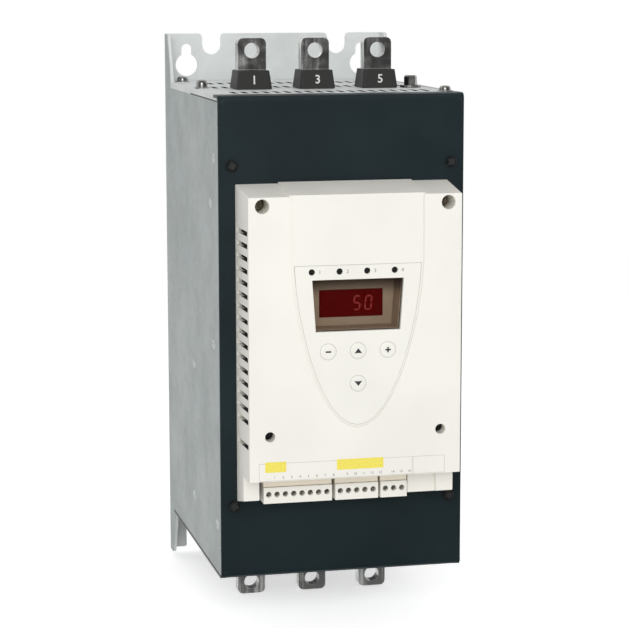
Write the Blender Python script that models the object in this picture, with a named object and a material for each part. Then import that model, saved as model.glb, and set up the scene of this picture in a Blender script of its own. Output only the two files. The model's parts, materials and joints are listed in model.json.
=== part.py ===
"""Wall-mounted three-phase soft starter, in metres, +Z up.

The origin lies on the rear mounting face, at mid width and half of the body's height.
The front looks towards -Y. Heights are measured from the body's bottom edge, and depths
from the front cover's face: behind() goes into the body, ahead() comes out of it.
"""

import math

import bmesh
import bpy
from mathutils import Matrix, Vector
from mathutils.geometry import tessellate_polygon

# Body
BODY_WIDTH = 0.150
BODY_HEIGHT = 0.291
BODY_DEPTH = 0.1945
GAP = 0.0003

# Steps of curves, and angles in degrees
CORNER_STEPS = 3
SMALL_CORNER_STEPS = 2
FOLD_STEPS = 3
SCREW_HOLE_STEPS = 10
BAR_HOLE_STEPS = 18
ROUND_STEPS = 20
SCREW_STEPS = 12
POST_STEPS = 14
SLOT_END_STEPS = 8
FAN_BORE_STEPS = 28
SMOOTH_ANGLE = 30
# Smallest distance that a cut or a fold tells apart
TOLERANCE = 1e-7
# Angle in radians at which flat ends are filled, so that no triangle has its corners in one line
FILL_SLANT = 0.37

# Chassis sheet
CHASSIS_SHEET = 0.0020
CHASSIS_BEND = 0.0015
INNER_HALF = BODY_WIDTH / 2 - CHASSIS_SHEET
PLATE_RISE = 0.0312
PLATE_DROP = 0.0300
EAR_TIP_DEPTH = 0.0140
EAR_ROOT_DEPTH = 0.0277
LEG_TIP_DEPTH = 0.0150
LEG_ROOT_DEPTH = 0.0270
EAR_CORNER = 0.0025
FRONT_FLANGE = 0.0160
FLANGE_INSET = 0.0180
FLANGE_RELIEF = 0.0015
KEYHOLE_EDGE = 0.0150
KEYHOLE_X = BODY_WIDTH / 2 - KEYHOLE_EDGE
KEYHOLE_DROP = 0.0208
KEYHOLE_RADIUS = 0.0075
KEYHOLE_SLOT_WIDTH = 0.0070
KEYHOLE_SLOT_DROP = 0.0069
NOTCH_EDGE = 0.0320
NOTCH_X = BODY_WIDTH / 2 - NOTCH_EDGE
NOTCH_WIDTH = 0.0127
NOTCH_DEPTH = 0.0140
FOOT_SLOT_WIDTH = 0.0070
FOOT_SLOT_DEPTH = 0.0170

# Power path
POLE_COUNT = 3
BAR_SIDE_ROOM = 0.0330
BAR_PITCH = INNER_HALF - BAR_SIDE_ROOM
BAR_WIDTH = 0.0178
BAR_THICKNESS = 0.0080
BAR_CORNER = 0.0032
BAR_HOLE_RADIUS = 0.00475
LINE_BAR_DEPTH = 0.0710
LINE_BAR_RISE = 0.0313
LINE_HOLE_RISE = 0.0236
BAR_JOGGLE = 0.0110
COIN_DEPTH = 0.0002
LOAD_BAR_DEPTH = LINE_BAR_DEPTH + BAR_JOGGLE
LOAD_BAR_DROP = 0.0340
LOAD_HOLE_DROP = 0.0263
JOGGLE_LOW = 0.0900
JOGGLE_HIGH = 0.1050
CONTACT_PAD = 0.0080
CONTACT_PAD_HEIGHT = 0.0010
CONTACT_GAP = 0.0040
CONTACT_LEVEL = 0.1570
CONTACT_SPREAD = 0.0140
BAR_END_GAP = 0.0150
SHROUD_WIDTH = 0.0226
SHROUD_TAPER = 0.0014
SHROUD_HEIGHT = 0.0112
SHROUD_FRONT = 0.0076
SHROUD_BACK = 0.0079
SHROUD_CORNER = 0.0015
BAR_CLEARANCE = 0.0003
PASSAGE_MARGIN = 0.0020

# Top and bottom plates
PLATE_SHEET = 0.0015
PLATE_BEND = 0.0010
PLATE_FLANGE = 0.0140
VENT_WIDTH = 0.0034
VENT_LENGTH = 0.0200
VENT_PITCH = 0.0066
VENT_ROW_PITCH = 0.0500
VENT_COVER_ROOM = 0.0080
VENT_BAR_ROOM = 0.0060
VENT_SIDE_ROOM = 0.0115
VENT_BACK_ROOM = 0.0230
VENT_FIRST_ROW = LINE_BAR_DEPTH + BAR_THICKNESS + VENT_BAR_ROOM + VENT_LENGTH / 2
VENT_COLUMNS = int((2 * (INNER_HALF - VENT_SIDE_ROOM) - VENT_WIDTH) / VENT_PITCH) + 1
VENT_ROWS = int((BODY_DEPTH - VENT_BACK_ROOM - VENT_FIRST_ROW) / VENT_ROW_PITCH) + 1

# Front cover
COVER_SHEET = 0.0015
COVER_BEND = 0.0020
COVER_FLANGE = 0.0140
COVER_SCREW_EDGE = 0.0080
COVER_SCREW_X = BODY_WIDTH / 2 - COVER_SCREW_EDGE
COVER_SCREW_RISE = 0.0450
COVER_SCREW_DROP = 0.0410
COVER_SCREW_LEVELS = (COVER_SCREW_RISE, BODY_HEIGHT - COVER_SCREW_DROP)
COVER_SCREW_HOLE = 0.0023
COVER_SCREW_SHANK = 0.0018
COVER_SCREW_HEAD = 0.0034
COVER_SCREW_HEAD_HEIGHT = 0.0022
COVER_SCREW_RIM = 0.6
COVER_SCREW_CROWN = 0.75
COVER_SCREW_LENGTH = 0.0100

# Control housing
HOUSING_SIDE_ROOM = 0.0100
HOUSING_TOP_ROOM = 0.0520
HOUSING_BOTTOM = 0.0480
HOUSING_DRAFT = 0.0010
HOUSING_TOP_DRAFT = 0.0048
HOUSING_HALF_BACK = BODY_WIDTH / 2 - HOUSING_SIDE_ROOM
HOUSING_HALF_FRONT = HOUSING_HALF_BACK - HOUSING_DRAFT
HOUSING_THICKNESS = 0.0350
HOUSING_TOP_BACK = BODY_HEIGHT - HOUSING_TOP_ROOM
HOUSING_TOP_FRONT = HOUSING_TOP_BACK - HOUSING_TOP_DRAFT
HOUSING_CORNER = 0.0006
HOUSING_WALL = 0.0020
PANEL_STEP = 0.0010
FOOT_HEIGHT = 0.0189
FACE_BOTTOM = HOUSING_BOTTOM + FOOT_HEIGHT
FOOT_THICKNESS = 0.0175
FOOT_BOTTOM_SLOPE = 0.2200
RECESS_EDGE = 0.0100
RECESS_WIDTH = 0.0920
RECESS_HEIGHT = 0.0220
RECESS_LEFT = RECESS_EDGE - HOUSING_HALF_BACK
RECESS_RIGHT = RECESS_LEFT + RECESS_WIDTH
RECESS_TOP = HOUSING_BOTTOM + RECESS_HEIGHT
NICHE_WIDTH = 0.0170
NICHE_DEPTH = 0.0030
NICHE_RIGHT = RECESS_RIGHT + NICHE_WIDTH
SIDE_VENT_HEIGHT = 0.0028
SIDE_VENT_PITCH = 0.0074
SIDE_VENT_DROP = 0.0260
SIDE_VENT_LOW_ROOM = 0.0170
SIDE_VENT_TOP = HOUSING_TOP_BACK - SIDE_VENT_DROP
SIDE_VENT_SPAN = SIDE_VENT_TOP - FACE_BOTTOM - SIDE_VENT_LOW_ROOM
SIDE_VENT_COUNT = int(SIDE_VENT_SPAN / SIDE_VENT_PITCH) + 1
SIDE_VENT_SKIPPED = SIDE_VENT_COUNT - 2
SIDE_VENT_BACK = 0.0035
SIDE_VENT_FRONT = 0.0310
TOP_BORE_EDGE = 0.0092
TOP_BORE_DROP = 0.0100
TOP_BORE_X = HOUSING_HALF_BACK - TOP_BORE_EDGE
TOP_BORE_LEVEL = HOUSING_TOP_BACK - TOP_BORE_DROP
TOP_BORE_RADIUS = 0.0043
LOW_BORE_EDGE = 0.0133
LOW_BORE_RISE = 0.0456
LOW_BORE_X = HOUSING_HALF_BACK - LOW_BORE_EDGE
LOW_BORE_LEVEL = HOUSING_BOTTOM + LOW_BORE_RISE
LOW_BORE_RADIUS = 0.0031
BORE_WALL = 0.0018
BORE_FLOOR = 0.0030
HOUSING_SCREW_HOLE = 0.0018

# Keypad: its rises are from its middle, which lies a little above the housing's middle
KEYPAD_X = 0.0010
KEYPAD_OFFSET = 0.0029
KEYPAD_MIDDLE = (HOUSING_BOTTOM + HOUSING_TOP_BACK) / 2 + KEYPAD_OFFSET
SHIELD_HEIGHT = 0.0947
SHIELD_TOP = KEYPAD_MIDDLE + SHIELD_HEIGHT / 2
SHIELD_BOTTOM = KEYPAD_MIDDLE - SHIELD_HEIGHT / 2
SHIELD_HALF = 0.0381
SHIELD_FALL = 1.5
SHIELD_ROUND = 2.0
SHIELD_STEPS = 10
PANEL_MARGIN = 0.0010
PANEL_SLOPE = 0.0016
OVERLAY_THICKNESS = 0.0005
WINDOW_DROP = 0.00865
WINDOW_HEIGHT = 0.0300
WINDOW_TOP = SHIELD_TOP - WINDOW_DROP
WINDOW_BOTTOM = WINDOW_TOP - WINDOW_HEIGHT
WINDOW_HALF_TOP = 0.0273
WINDOW_HALF_BOTTOM = 0.0252
WINDOW_THICKNESS = 0.0020
LIGHT_DROP = 0.0036
LIGHT_LEVEL = SHIELD_TOP - LIGHT_DROP
LIGHT_PITCH = 0.0166
LIGHT_OFFSET = -0.0029
LIGHT_MIDDLE = KEYPAD_X + LIGHT_OFFSET
LIGHT_RADIUS = 0.00165
LIGHT_CLEARANCE = 0.0003
LIGHT_COUNT = 4
LIGHT_TIP = 0.7
LIGHT_TIP_FALL = 0.4
KEY_PITCH = 0.0180
KEY_ROW_PITCH = 0.0194
KEY_DROP = 0.0121
KEY_LEVEL = WINDOW_BOTTOM - KEY_DROP
KEY_LOW_LEVEL = KEY_LEVEL - KEY_ROW_PITCH
KEY_RADIUS = 0.0047
KEY_CLEARANCE = 0.0003
KEY_TRAVEL = 0.0008
KEY_FLANGE = 0.0011
KEY_STEM_RADIUS = 0.0018
KEY_DOME = 0.0004
KEY_CROWN = 0.8
KEY_CROWN_FALL = 0.3
SWITCH_HEIGHT = 0.0030
SWITCH_SIZE = 0.0060

# Control board and what it carries
BOARD_THICKNESS = 0.0016
BOARD_SETBACK = 0.0064
BOARD_EDGE = 0.0045
BOARD_DROP = 0.0190
BOARD_RISE = 0.0130
BOARD_HALF_WIDTH = HOUSING_HALF_BACK - BOARD_EDGE
BOARD_TOP = HOUSING_TOP_BACK - BOARD_DROP
BOARD_BOTTOM = HOUSING_BOTTOM + BOARD_RISE
BOARD_POST_RADIUS = 0.0030
BOARD_POST_EDGE = 0.0105
BOARD_POST_DROP = 0.0100
BOARD_POST_RISE = 0.0540
BOARD_POST_X = BOARD_HALF_WIDTH - BOARD_POST_EDGE
BOARD_POST_LEVELS = (BOARD_BOTTOM + BOARD_POST_RISE, BOARD_TOP - BOARD_POST_DROP)
DISPLAY_WIDTH = 0.0385
DISPLAY_HEIGHT = 0.0161
DISPLAY_RISE = 0.0137
DISPLAY_LEVEL = WINDOW_BOTTOM + DISPLAY_RISE
DISPLAY_DEPTH = 0.0095
GUIDE_BAR_HEIGHT = 0.0060
GUIDE_BAR_DEPTH = 0.0035
# Left side, height above the board's lower edge, width, height and thickness of each component
BOARD_COMPONENTS = (
    (-0.0440, 0.0150, 0.0130, 0.0110, 0.0100),
    (-0.0260, 0.0150, 0.0130, 0.0110, 0.0100),
    (-0.0080, 0.0150, 0.0130, 0.0110, 0.0100),
    (0.0120, 0.0190, 0.0200, 0.0200, 0.0020),
    (0.0300, 0.0690, 0.0120, 0.0280, 0.0120),
)

# Plug-in terminals
POLE_PITCH = 0.00508
PLUG_POLES = (8, 5, 3)
PLUG_OFFSETS = (0.0028, 0.0466, 0.0746)
PLUG_SIDE = 0.0011
PLUG_RISE = 0.0015
PLUG_HEIGHT = 0.0097
PLUG_BOTTOM = HOUSING_BOTTOM + PLUG_RISE
PLUG_TOP = PLUG_BOTTOM + PLUG_HEIGHT
PLUG_FRONT = 0.0170
PLUG_BACK = 0.0040
PLUG_TONGUE = 0.0050
HEADER_HEIGHT = 0.0093
HEADER_TOP = PLUG_TOP + HEADER_HEIGHT
HEADER_FRONT = 0.0158
HEADER_WALL = 0.0012
POLE_HOLE_RADIUS = 0.0018
POLE_HOLE_DEPTH = 0.0040
WIRE_ENTRY = 0.0034

# Power stage
MODULE_HEIGHT = 0.0324
MODULE_SPACING = 0.0060
MODULE_WIDTH = BAR_PITCH - MODULE_SPACING
MODULE_BOTTOM = 0.1100
MODULE_TOP = 0.2040
MODULE_BODY = 0.0270
MODULE_PAD = 0.0150
MODULE_PAD_INSET = 0.0160
MODULE_EAR = 0.0060
MODULE_EAR_THICKNESS = 0.0100
HEATSINK_DEPTH = LINE_BAR_DEPTH + BAR_THICKNESS + GAP + MODULE_HEIGHT + GAP
HEATSINK_BASE = 0.0120
HEATSINK_BOTTOM = 0.0300
HEATSINK_TOP_ROOM = 0.0420
FIN_COUNT = 21
FIN_THICKNESS = 0.0022
SENSOR_SPACING = 0.0040
SENSOR_WIDTH = BAR_PITCH - SENSOR_SPACING
SENSOR_DEPTH = 0.0340
SENSOR_BOTTOM = 0.0500
SENSOR_TOP = 0.0720
POWER_BOARD_EDGE = 0.0030
POWER_BOARD_DROP = 0.0560
POWER_BOARD_HALF = INNER_HALF - POWER_BOARD_EDGE
POWER_BOARD_BOTTOM = 0.0600
POWER_BOARD_TOP = BODY_HEIGHT - POWER_BOARD_DROP
CONNECTOR_HALF = 0.0150
CONNECTOR_DROP = 0.0430
CONNECTOR_HEIGHT = 0.0100
CONNECTOR_LOW = HOUSING_TOP_BACK - CONNECTOR_DROP
CONNECTOR_HIGH = CONNECTOR_LOW + CONNECTOR_HEIGHT
CABLE_WINDOW_HALF = 0.0300
CABLE_WINDOW_MARGIN = 0.0060
# Left side, width, height and thickness of each component at the board's lower and upper edge
POWER_COMPONENT_EDGE = 0.0020
LOW_COMPONENTS = (
    (-0.0600, 0.0420, 0.0360, 0.0170),
    (-0.0100, 0.0240, 0.0240, 0.0160),
    (0.0220, 0.0300, 0.0200, 0.0120),
)
HIGH_COMPONENTS = (
    (-0.0600, 0.0300, 0.0160, 0.0120),
    (0.0250, 0.0300, 0.0160, 0.0120),
)

# Bypass contactor
TRAVEL_MARGIN = 0.0003
BYPASS_WALL = 0.0032
BYPASS_BOTTOM = 0.0960
BYPASS_SHELF = 0.1360
BYPASS_TOP = 0.1750
BYPASS_WING = 0.0045
CORE_BAR_GAP = 0.0050
CORE_DEPTH = 0.0260
CORE_BACK = LINE_BAR_DEPTH - CORE_BAR_GAP
CORE_FACE = CORE_BACK - CORE_DEPTH
BYPASS_REACH = 0.0100
BYPASS_FRONT = CORE_FACE - BYPASS_REACH
CORE_HALF = 0.0240
CORE_LOW = 0.1040
CORE_HIGH = 0.1320
CORE_YOKE = 0.0080
CORE_LIMB = 0.0120
CORE_SIDE_LIMB = 0.0070
COIL_BULGE = 0.0055
ARMATURE_THICKNESS = 0.0060
CARRIER_HALF = 0.0260
CARRIER_PLATE = 0.0055
CARRIER_BOTTOM = 0.1000
CROSSBAR_DEPTH = 0.0120
CROSSBAR_HEIGHT = 0.0160
BRIDGE_WIDTH = 0.0140
BRIDGE_THICKNESS = 0.0030
BRIDGE_HEIGHT = 0.0380
BRIDGE_TIP = 0.0020

# Fans: as large as the chassis width and the depth of the fins allow
FAN_SIDE_ROOM = 0.0030
FAN_END_ROOM = 0.00525
FAN_SPACING = 0.0010
FIN_SPACE = BODY_DEPTH - HEATSINK_DEPTH - CHASSIS_SHEET
FAN_SIZE = min(INNER_HALF - FAN_SIDE_ROOM, FIN_SPACE - 2 * FAN_END_ROOM)
FAN_X = (FAN_SIZE + FAN_SPACING) / 2
FAN_HEIGHT = 0.0250
FAN_CORNER = 0.0040
FAN_WALL = 0.0020
FAN_BORE = FAN_SIZE / 2 - FAN_WALL
FAN_HUB = 0.0140
FAN_STRUT = 0.0030
FAN_STRUTS = 4
FAN_STRUT_HEIGHT = 0.0030
FAN_SHAFT = 0.0025
FAN_SHAFT_CLEARANCE = 0.0005
FAN_AIR_GAP = 0.0015
BLADE_COUNT = 7
BLADE_THICKNESS = 0.0014
BLADE_CHORD = 0.0200
BLADE_PITCH = 38.0
BLADE_TWIST = 8.0
BLADE_LIFT = 0.9
# Share of the chord and of the thickness at each corner of a blade's section
BLADE_SECTION = (
    (-0.5, -0.5),
    (0.0, -0.5),
    (0.5, -0.5),
    (0.5, 0.5),
    (0.0, 0.5),
    (-0.5, 0.5),
)
GRILLE_LAP = 0.0010
GRILLE_RIM = 0.0030
GRILLE_ARC = 78.0
GRILLE_ARCS = 4
GRILLE_STEPS = 6

# Earth screw
EARTH_EDGE = 0.0123
EARTH_BAR_OFFSET = 0.0028
EARTH_X = INNER_HALF - EARTH_EDGE
EARTH_DEPTH = LINE_BAR_DEPTH - EARTH_BAR_OFFSET
EARTH_HEAD_RADIUS = 0.0042
EARTH_HEAD_HEIGHT = 0.0060
EARTH_WASHER_RADIUS = 0.0068
EARTH_WASHER_HEIGHT = 0.0012
EARTH_SHANK = 0.0024
EARTH_LENGTH = 0.0120
EARTH_COLLAR = 0.9
EARTH_RIM = 0.85
EARTH_CROWN = 0.8
HEXAGON = 6

PLANES = {
    "XY": lambda a, b, c: (a, b, c),
    "XZ": lambda a, b, c: (a, c, b),
    "YZ": lambda a, b, c: (c, a, b),
}


def level(height):
    """Z of a height above the body's bottom edge."""
    return height - BODY_HEIGHT / 2


def behind(depth):
    """Y of a depth behind the front cover's face."""
    return depth - BODY_DEPTH


def ahead(distance):
    """Y of a distance ahead of the front cover's face."""
    return -BODY_DEPTH - distance


TOP = level(BODY_HEIGHT)
BOTTOM = level(0.0)
UP = Vector((0, 0, 1))
POLES = [(index - (POLE_COUNT - 1) / 2) * BAR_PITCH for index in range(POLE_COUNT)]


def clear_scene():
    for obj in list(bpy.data.objects):
        bpy.data.objects.remove(obj, do_unlink=True)


def make_material(name, color, roughness, metallic=0.0, alpha=1.0):
    material = bpy.data.materials.new(name)
    material.use_nodes = True
    shader = material.node_tree.nodes["Principled BSDF"]
    shader.inputs["Base Color"].default_value = (*color, 1.0)
    shader.inputs["Roughness"].default_value = roughness
    shader.inputs["Metallic"].default_value = metallic
    shader.inputs["Alpha"].default_value = alpha
    return material


def rectangle(low_a, high_a, low_b, high_b):
    return [(low_a, low_b), (high_a, low_b), (high_a, high_b), (low_a, high_b)]


def circle(centre_a, centre_b, radius, steps=ROUND_STEPS):
    turns = [2 * math.pi * step / steps for step in range(steps)]
    return [(centre_a + radius * math.cos(t), centre_b + radius * math.sin(t)) for t in turns]


def arc(centre_a, centre_b, radius, start, end, steps):
    """Points of an arc between two angles in degrees."""
    turns = [math.radians(start + (end - start) * step / steps) for step in range(steps + 1)]
    return [(centre_a + radius * math.cos(t), centre_b + radius * math.sin(t)) for t in turns]


def rounded(corners, steps=CORNER_STEPS):
    """Rounds each corner (a, b, radius) of an outline with an arc."""
    outline = []
    for index, (a, b, radius) in enumerate(corners):
        corner = Vector((a, b))
        if radius == 0:
            outline.append((a, b))
            continue
        before = (Vector(corners[index - 1][:2]) - corner).normalized()
        after = (Vector(corners[(index + 1) % len(corners)][:2]) - corner).normalized()
        half = before.angle(after) / 2
        centre = corner + (before + after).normalized() * radius / math.sin(half)
        start = corner + before * radius / math.tan(half) - centre
        end = corner + after * radius / math.tan(half) - centre
        sweep = start.angle_signed(end)
        for step in range(steps + 1):
            turned = Matrix.Rotation(-sweep * step / steps, 2) @ start
            outline.append(tuple(centre + turned))
    return outline


def rounded_rectangle(low_a, high_a, low_b, high_b, radius, steps=CORNER_STEPS):
    corners = [(a, b, radius) for a, b in rectangle(low_a, high_a, low_b, high_b)]
    return rounded(corners, steps)


def face_outwards(mesh, faces):
    """Turns the faces of closed solids so that they enclose a positive volume."""
    volume = 0.0
    for face in faces:
        first, *others = [vert.co for vert in face.verts]
        for near, after in zip(others, others[1:]):
            volume += first.dot(near.cross(after))
    if volume < 0:
        bmesh.ops.reverse_faces(mesh, faces=faces)


def close_solid(mesh, faces):
    """Gives the faces of one new solid a common outward direction."""
    bmesh.ops.recalc_face_normals(mesh, faces=faces)
    face_outwards(mesh, faces)


def add_prism(mesh, loops, low, high, plane="XY", far=None):
    """Adds a closed solid between two levels. Loop 0 is the outline and the rest are holes.

    far gives the loops at the high level where the solid tapers.
    """
    place = PLANES[plane]
    slant = Matrix.Rotation(FILL_SLANT, 3, "Z")
    triangles = tessellate_polygon(
        [[slant @ Vector((a, b, 0)) for a, b in loop] for loop in loops]
    )
    ends = []
    faces = []
    for height, shape in ((low, loops), (high, far or loops)):
        rings = [[mesh.verts.new(place(a, b, height)) for a, b in loop] for loop in shape]
        corners = [vert for ring in rings for vert in ring]
        for triangle in triangles:
            faces.append(mesh.faces.new([corners[index] for index in triangle]))
        ends.append(rings)
    for near, away in zip(*ends):
        faces += bridge(mesh, near, away)
    close_solid(mesh, faces)


def bridge(mesh, near, away):
    """Faces between two closed rings, either of which may be a single point."""
    faces = []
    count = max(len(near), len(away))
    for index in range(count):
        after = (index + 1) % count
        corners = [near[index % len(near)], near[after % len(near)]]
        corners += [away[after % len(away)], away[index % len(away)]]
        faces.append(mesh.faces.new(list(dict.fromkeys(corners))))
    return faces


def add_loft(mesh, sections, plane="XY"):
    """Adds a closed solid through sections, each a level and an outline of as many points."""
    place = PLANES[plane]
    rings = [[mesh.verts.new(place(a, b, height)) for a, b in loop] for height, loop in sections]
    faces = []
    for near, away in zip(rings, rings[1:]):
        faces += bridge(mesh, near, away)
    for ring, section in ((rings[0], sections[0]), (rings[-1], sections[-1])):
        for triangle in tessellate_polygon([[Vector((a, b, 0)) for a, b in section[1]]]):
            faces.append(mesh.faces.new([ring[index] for index in triangle]))
    close_solid(mesh, faces)


def add_box(mesh, low, high):
    add_prism(mesh, [rectangle(low[0], high[0], low[1], high[1])], low[2], high[2])


def add_turned(mesh, profile, steps, plane="XY", centre=(0.0, 0.0)):
    """Adds a turned solid whose profile is (radius, level) points, from one end to the other."""
    place = PLANES[plane]
    rings = []
    for radius, height in profile:
        if radius == 0:
            rings.append([mesh.verts.new(place(centre[0], centre[1], height))])
            continue
        points = circle(centre[0], centre[1], radius, steps)
        rings.append([mesh.verts.new(place(a, b, height)) for a, b in points])
    faces = [mesh.faces.new(ring) for ring in (rings[0], rings[-1]) if len(ring) > 1]
    for near, away in zip(rings, rings[1:]):
        faces += bridge(mesh, near, away)
    close_solid(mesh, faces)


def split_across(mesh, point, normal):
    """Splits the faces that a plane crosses, so that an edge runs along it."""
    everything = list(mesh.verts) + list(mesh.edges) + list(mesh.faces)
    bmesh.ops.bisect_plane(
        mesh, geom=everything, plane_co=point, plane_no=normal, dist=TOLERANCE
    )


def fold_length(radius, sheet):
    """Length of flat sheet that a right-angle fold takes up."""
    return (radius + sheet / 2) * math.pi / 2


def fold(mesh, axis, line, side, radius, sheet, low=-1.0, high=1.0):
    """Folds a flat sheet by a right angle towards -Z, beyond a line across axis.

    The sheet lies between Z = 0, its inner face, and Z = sheet. Only what lies between
    low and high on the other axis is folded.
    """
    length = fold_length(radius, sheet)
    normal = Vector((0, 0, 0))
    normal[axis] = 1
    for step in range(FOLD_STEPS + 1):
        split_across(mesh, normal * (line + side * length * step / FOLD_STEPS), normal)
    for vert in mesh.verts:
        reach = side * (vert.co[axis] - line)
        across = vert.co[1 - axis]
        if reach <= TOLERANCE or across < low or across > high:
            continue
        outward = radius + vert.co.z
        if reach < length:
            turn = reach / length * math.pi / 2
            vert.co[axis] = line + side * outward * math.sin(turn)
            vert.co.z = -radius + outward * math.cos(turn)
        else:
            vert.co[axis] = line + side * outward
            vert.co.z = -radius - (reach - length)


def stand_up(mesh, y_inner, outwards):
    """Turns a sheet made flat in XY so that it stands in XZ with its inner face at y_inner."""
    for vert in mesh.verts:
        vert.co = Vector((vert.co.x, y_inner + outwards * vert.co.z, vert.co.y))


def lay_down(mesh, z_inner, outwards):
    """Keeps a sheet flat in XY with its inner face at z_inner."""
    for vert in mesh.verts:
        vert.co.z = z_inner + outwards * vert.co.z


def add_object(name, mesh, material, location=(0, 0, 0)):
    face_outwards(mesh, mesh.faces[:])
    data = bpy.data.meshes.new(name)
    mesh.to_mesh(data)
    mesh.free()
    data.materials.append(material)
    data.shade_smooth()
    data.set_sharp_from_angle(angle=math.radians(SMOOTH_ANGLE))
    return place_mesh(name, data, location)


def place_mesh(name, data, location):
    obj = bpy.data.objects.new(name, data)
    obj.location = location
    bpy.context.collection.objects.link(obj)
    return obj


def shape_with(obj, mesh, operation, tool_name):
    """Cuts or joins hidden helper solids into an object."""
    data = bpy.data.meshes.new(tool_name)
    mesh.to_mesh(data)
    mesh.free()
    helper = place_mesh(tool_name, data, obj.location)
    helper.hide_render = True
    helper.display_type = "WIRE"
    modifier = obj.modifiers.new(tool_name, "BOOLEAN")
    modifier.operation = operation
    modifier.solver = "EXACT"
    modifier.object = helper
    return helper


def mirrored(points):
    """A right half and its mirror image as one closed outline, of points or of corners."""
    return points + [(-a, *rest) for a, *rest in reversed(points)]


def chassis_flat(depth):
    """Flat-pattern distance from mid width to a depth in front of the rear face."""
    start = BODY_WIDTH / 2 - CHASSIS_BEND - CHASSIS_SHEET
    fold_depth = CHASSIS_BEND + CHASSIS_SHEET
    return start + fold_length(CHASSIS_BEND, CHASSIS_SHEET) + depth - fold_depth


def keyhole(centre_x, plate_top):
    """A round hole that opens upwards into a narrower slot."""
    half = KEYHOLE_SLOT_WIDTH / 2
    centre = plate_top - KEYHOLE_DROP
    slot_centre = plate_top - KEYHOLE_SLOT_DROP - half
    meet = math.degrees(math.acos(half / KEYHOLE_RADIUS))
    hole = arc(centre_x, centre, KEYHOLE_RADIUS, 180 - meet, 360 + meet, 2 * SLOT_END_STEPS)
    return hole + arc(centre_x, slot_centre, half, 0, 180, SLOT_END_STEPS)


def make_chassis(material):
    """One folded sheet: rear plate with ears, side panels and narrow front flanges."""
    plate_top = TOP + PLATE_RISE
    plate_bottom = BOTTOM - PLATE_DROP
    front_depth = BODY_DEPTH - COVER_SHEET - GAP
    fold_depth = CHASSIS_BEND + CHASSIS_SHEET
    front_line = chassis_flat(front_depth - fold_depth)
    front_edge = chassis_flat(front_depth)
    fold_span = fold_length(CHASSIS_BEND, CHASSIS_SHEET)
    flange_edge = front_line + fold_span + FRONT_FLANGE - fold_depth
    flange_low = BOTTOM + FLANGE_INSET
    flange_high = TOP - FLANGE_INSET
    slot_half = FOOT_SLOT_WIDTH / 2
    slot_top = plate_bottom + FOOT_SLOT_DEPTH - slot_half
    notch_half = NOTCH_WIDTH / 2
    notch_bottom = plate_top - NOTCH_DEPTH + notch_half
    slot = arc(KEYHOLE_X, slot_top, slot_half, 180, 0, SLOT_END_STEPS)
    foot = rounded(
        [
            (KEYHOLE_X - slot_half, slot_top, 0),
            (KEYHOLE_X - slot_half, plate_bottom, EAR_CORNER / 2),
            (0.0, plate_bottom, 0),
        ],
        steps=SMALL_CORNER_STEPS,
    )[1:-1]
    right = foot[::-1] + slot
    right += rounded(
        [
            (KEYHOLE_X + slot_half, slot_top, 0),
            (KEYHOLE_X + slot_half, plate_bottom, EAR_CORNER / 2),
            (chassis_flat(LEG_TIP_DEPTH), plate_bottom, EAR_CORNER),
            (chassis_flat(LEG_ROOT_DEPTH), BOTTOM, EAR_CORNER),
            (front_edge, BOTTOM, EAR_CORNER),
            (front_edge, flange_low - FLANGE_RELIEF, 0),
            (front_line - FLANGE_RELIEF / 2, flange_low - FLANGE_RELIEF, 0),
            (front_line - FLANGE_RELIEF / 2, flange_low, 0),
            (flange_edge, flange_low, 0),
            (flange_edge, flange_high, 0),
            (front_line - FLANGE_RELIEF / 2, flange_high, 0),
            (front_line - FLANGE_RELIEF / 2, flange_high + FLANGE_RELIEF, 0),
            (front_edge, flange_high + FLANGE_RELIEF, 0),
            (front_edge, TOP, EAR_CORNER),
            (chassis_flat(EAR_ROOT_DEPTH), TOP, EAR_CORNER),
            (chassis_flat(EAR_TIP_DEPTH), plate_top, EAR_CORNER),
            (NOTCH_X + notch_half, plate_top, EAR_CORNER),
            (NOTCH_X + notch_half, notch_bottom, 0),
        ],
        steps=SMALL_CORNER_STEPS,
    )[1:]
    right += arc(NOTCH_X, notch_bottom, notch_half, 0, -180, SLOT_END_STEPS)[1:]
    right += rounded(
        [
            (NOTCH_X - notch_half, notch_bottom, 0),
            (NOTCH_X - notch_half, plate_top, EAR_CORNER),
            (0.0, plate_top, 0),
        ],
        steps=SMALL_CORNER_STEPS,
    )[1:-1]
    holes = [keyhole(side * KEYHOLE_X, plate_top) for side in (-1, 1)]
    flange_middle = BODY_WIDTH / 2 - COVER_SCREW_X
    screw_reach = front_line + fold_span + flange_middle - fold_depth
    for side in (-1, 1):
        for height in COVER_SCREW_LEVELS:
            hole = circle(side * screw_reach, level(height), COVER_SCREW_HOLE, SCREW_HOLE_STEPS)
            holes.append(hole)
    mesh = bmesh.new()
    add_prism(mesh, [mirrored(right), *holes], 0.0, CHASSIS_SHEET)
    half = BODY_WIDTH / 2 - fold_depth
    for side in (-1, 1):
        reach = FLANGE_RELIEF / 4
        fold(
            mesh, 0, side * front_line, side, CHASSIS_BEND, CHASSIS_SHEET,
            flange_low - reach, flange_high + reach,
        )
    for side in (-1, 1):
        fold(mesh, 0, side * half, side, CHASSIS_BEND, CHASSIS_SHEET)
    stand_up(mesh, -CHASSIS_SHEET, 1)
    add_object("chassis", mesh, material)


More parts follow.
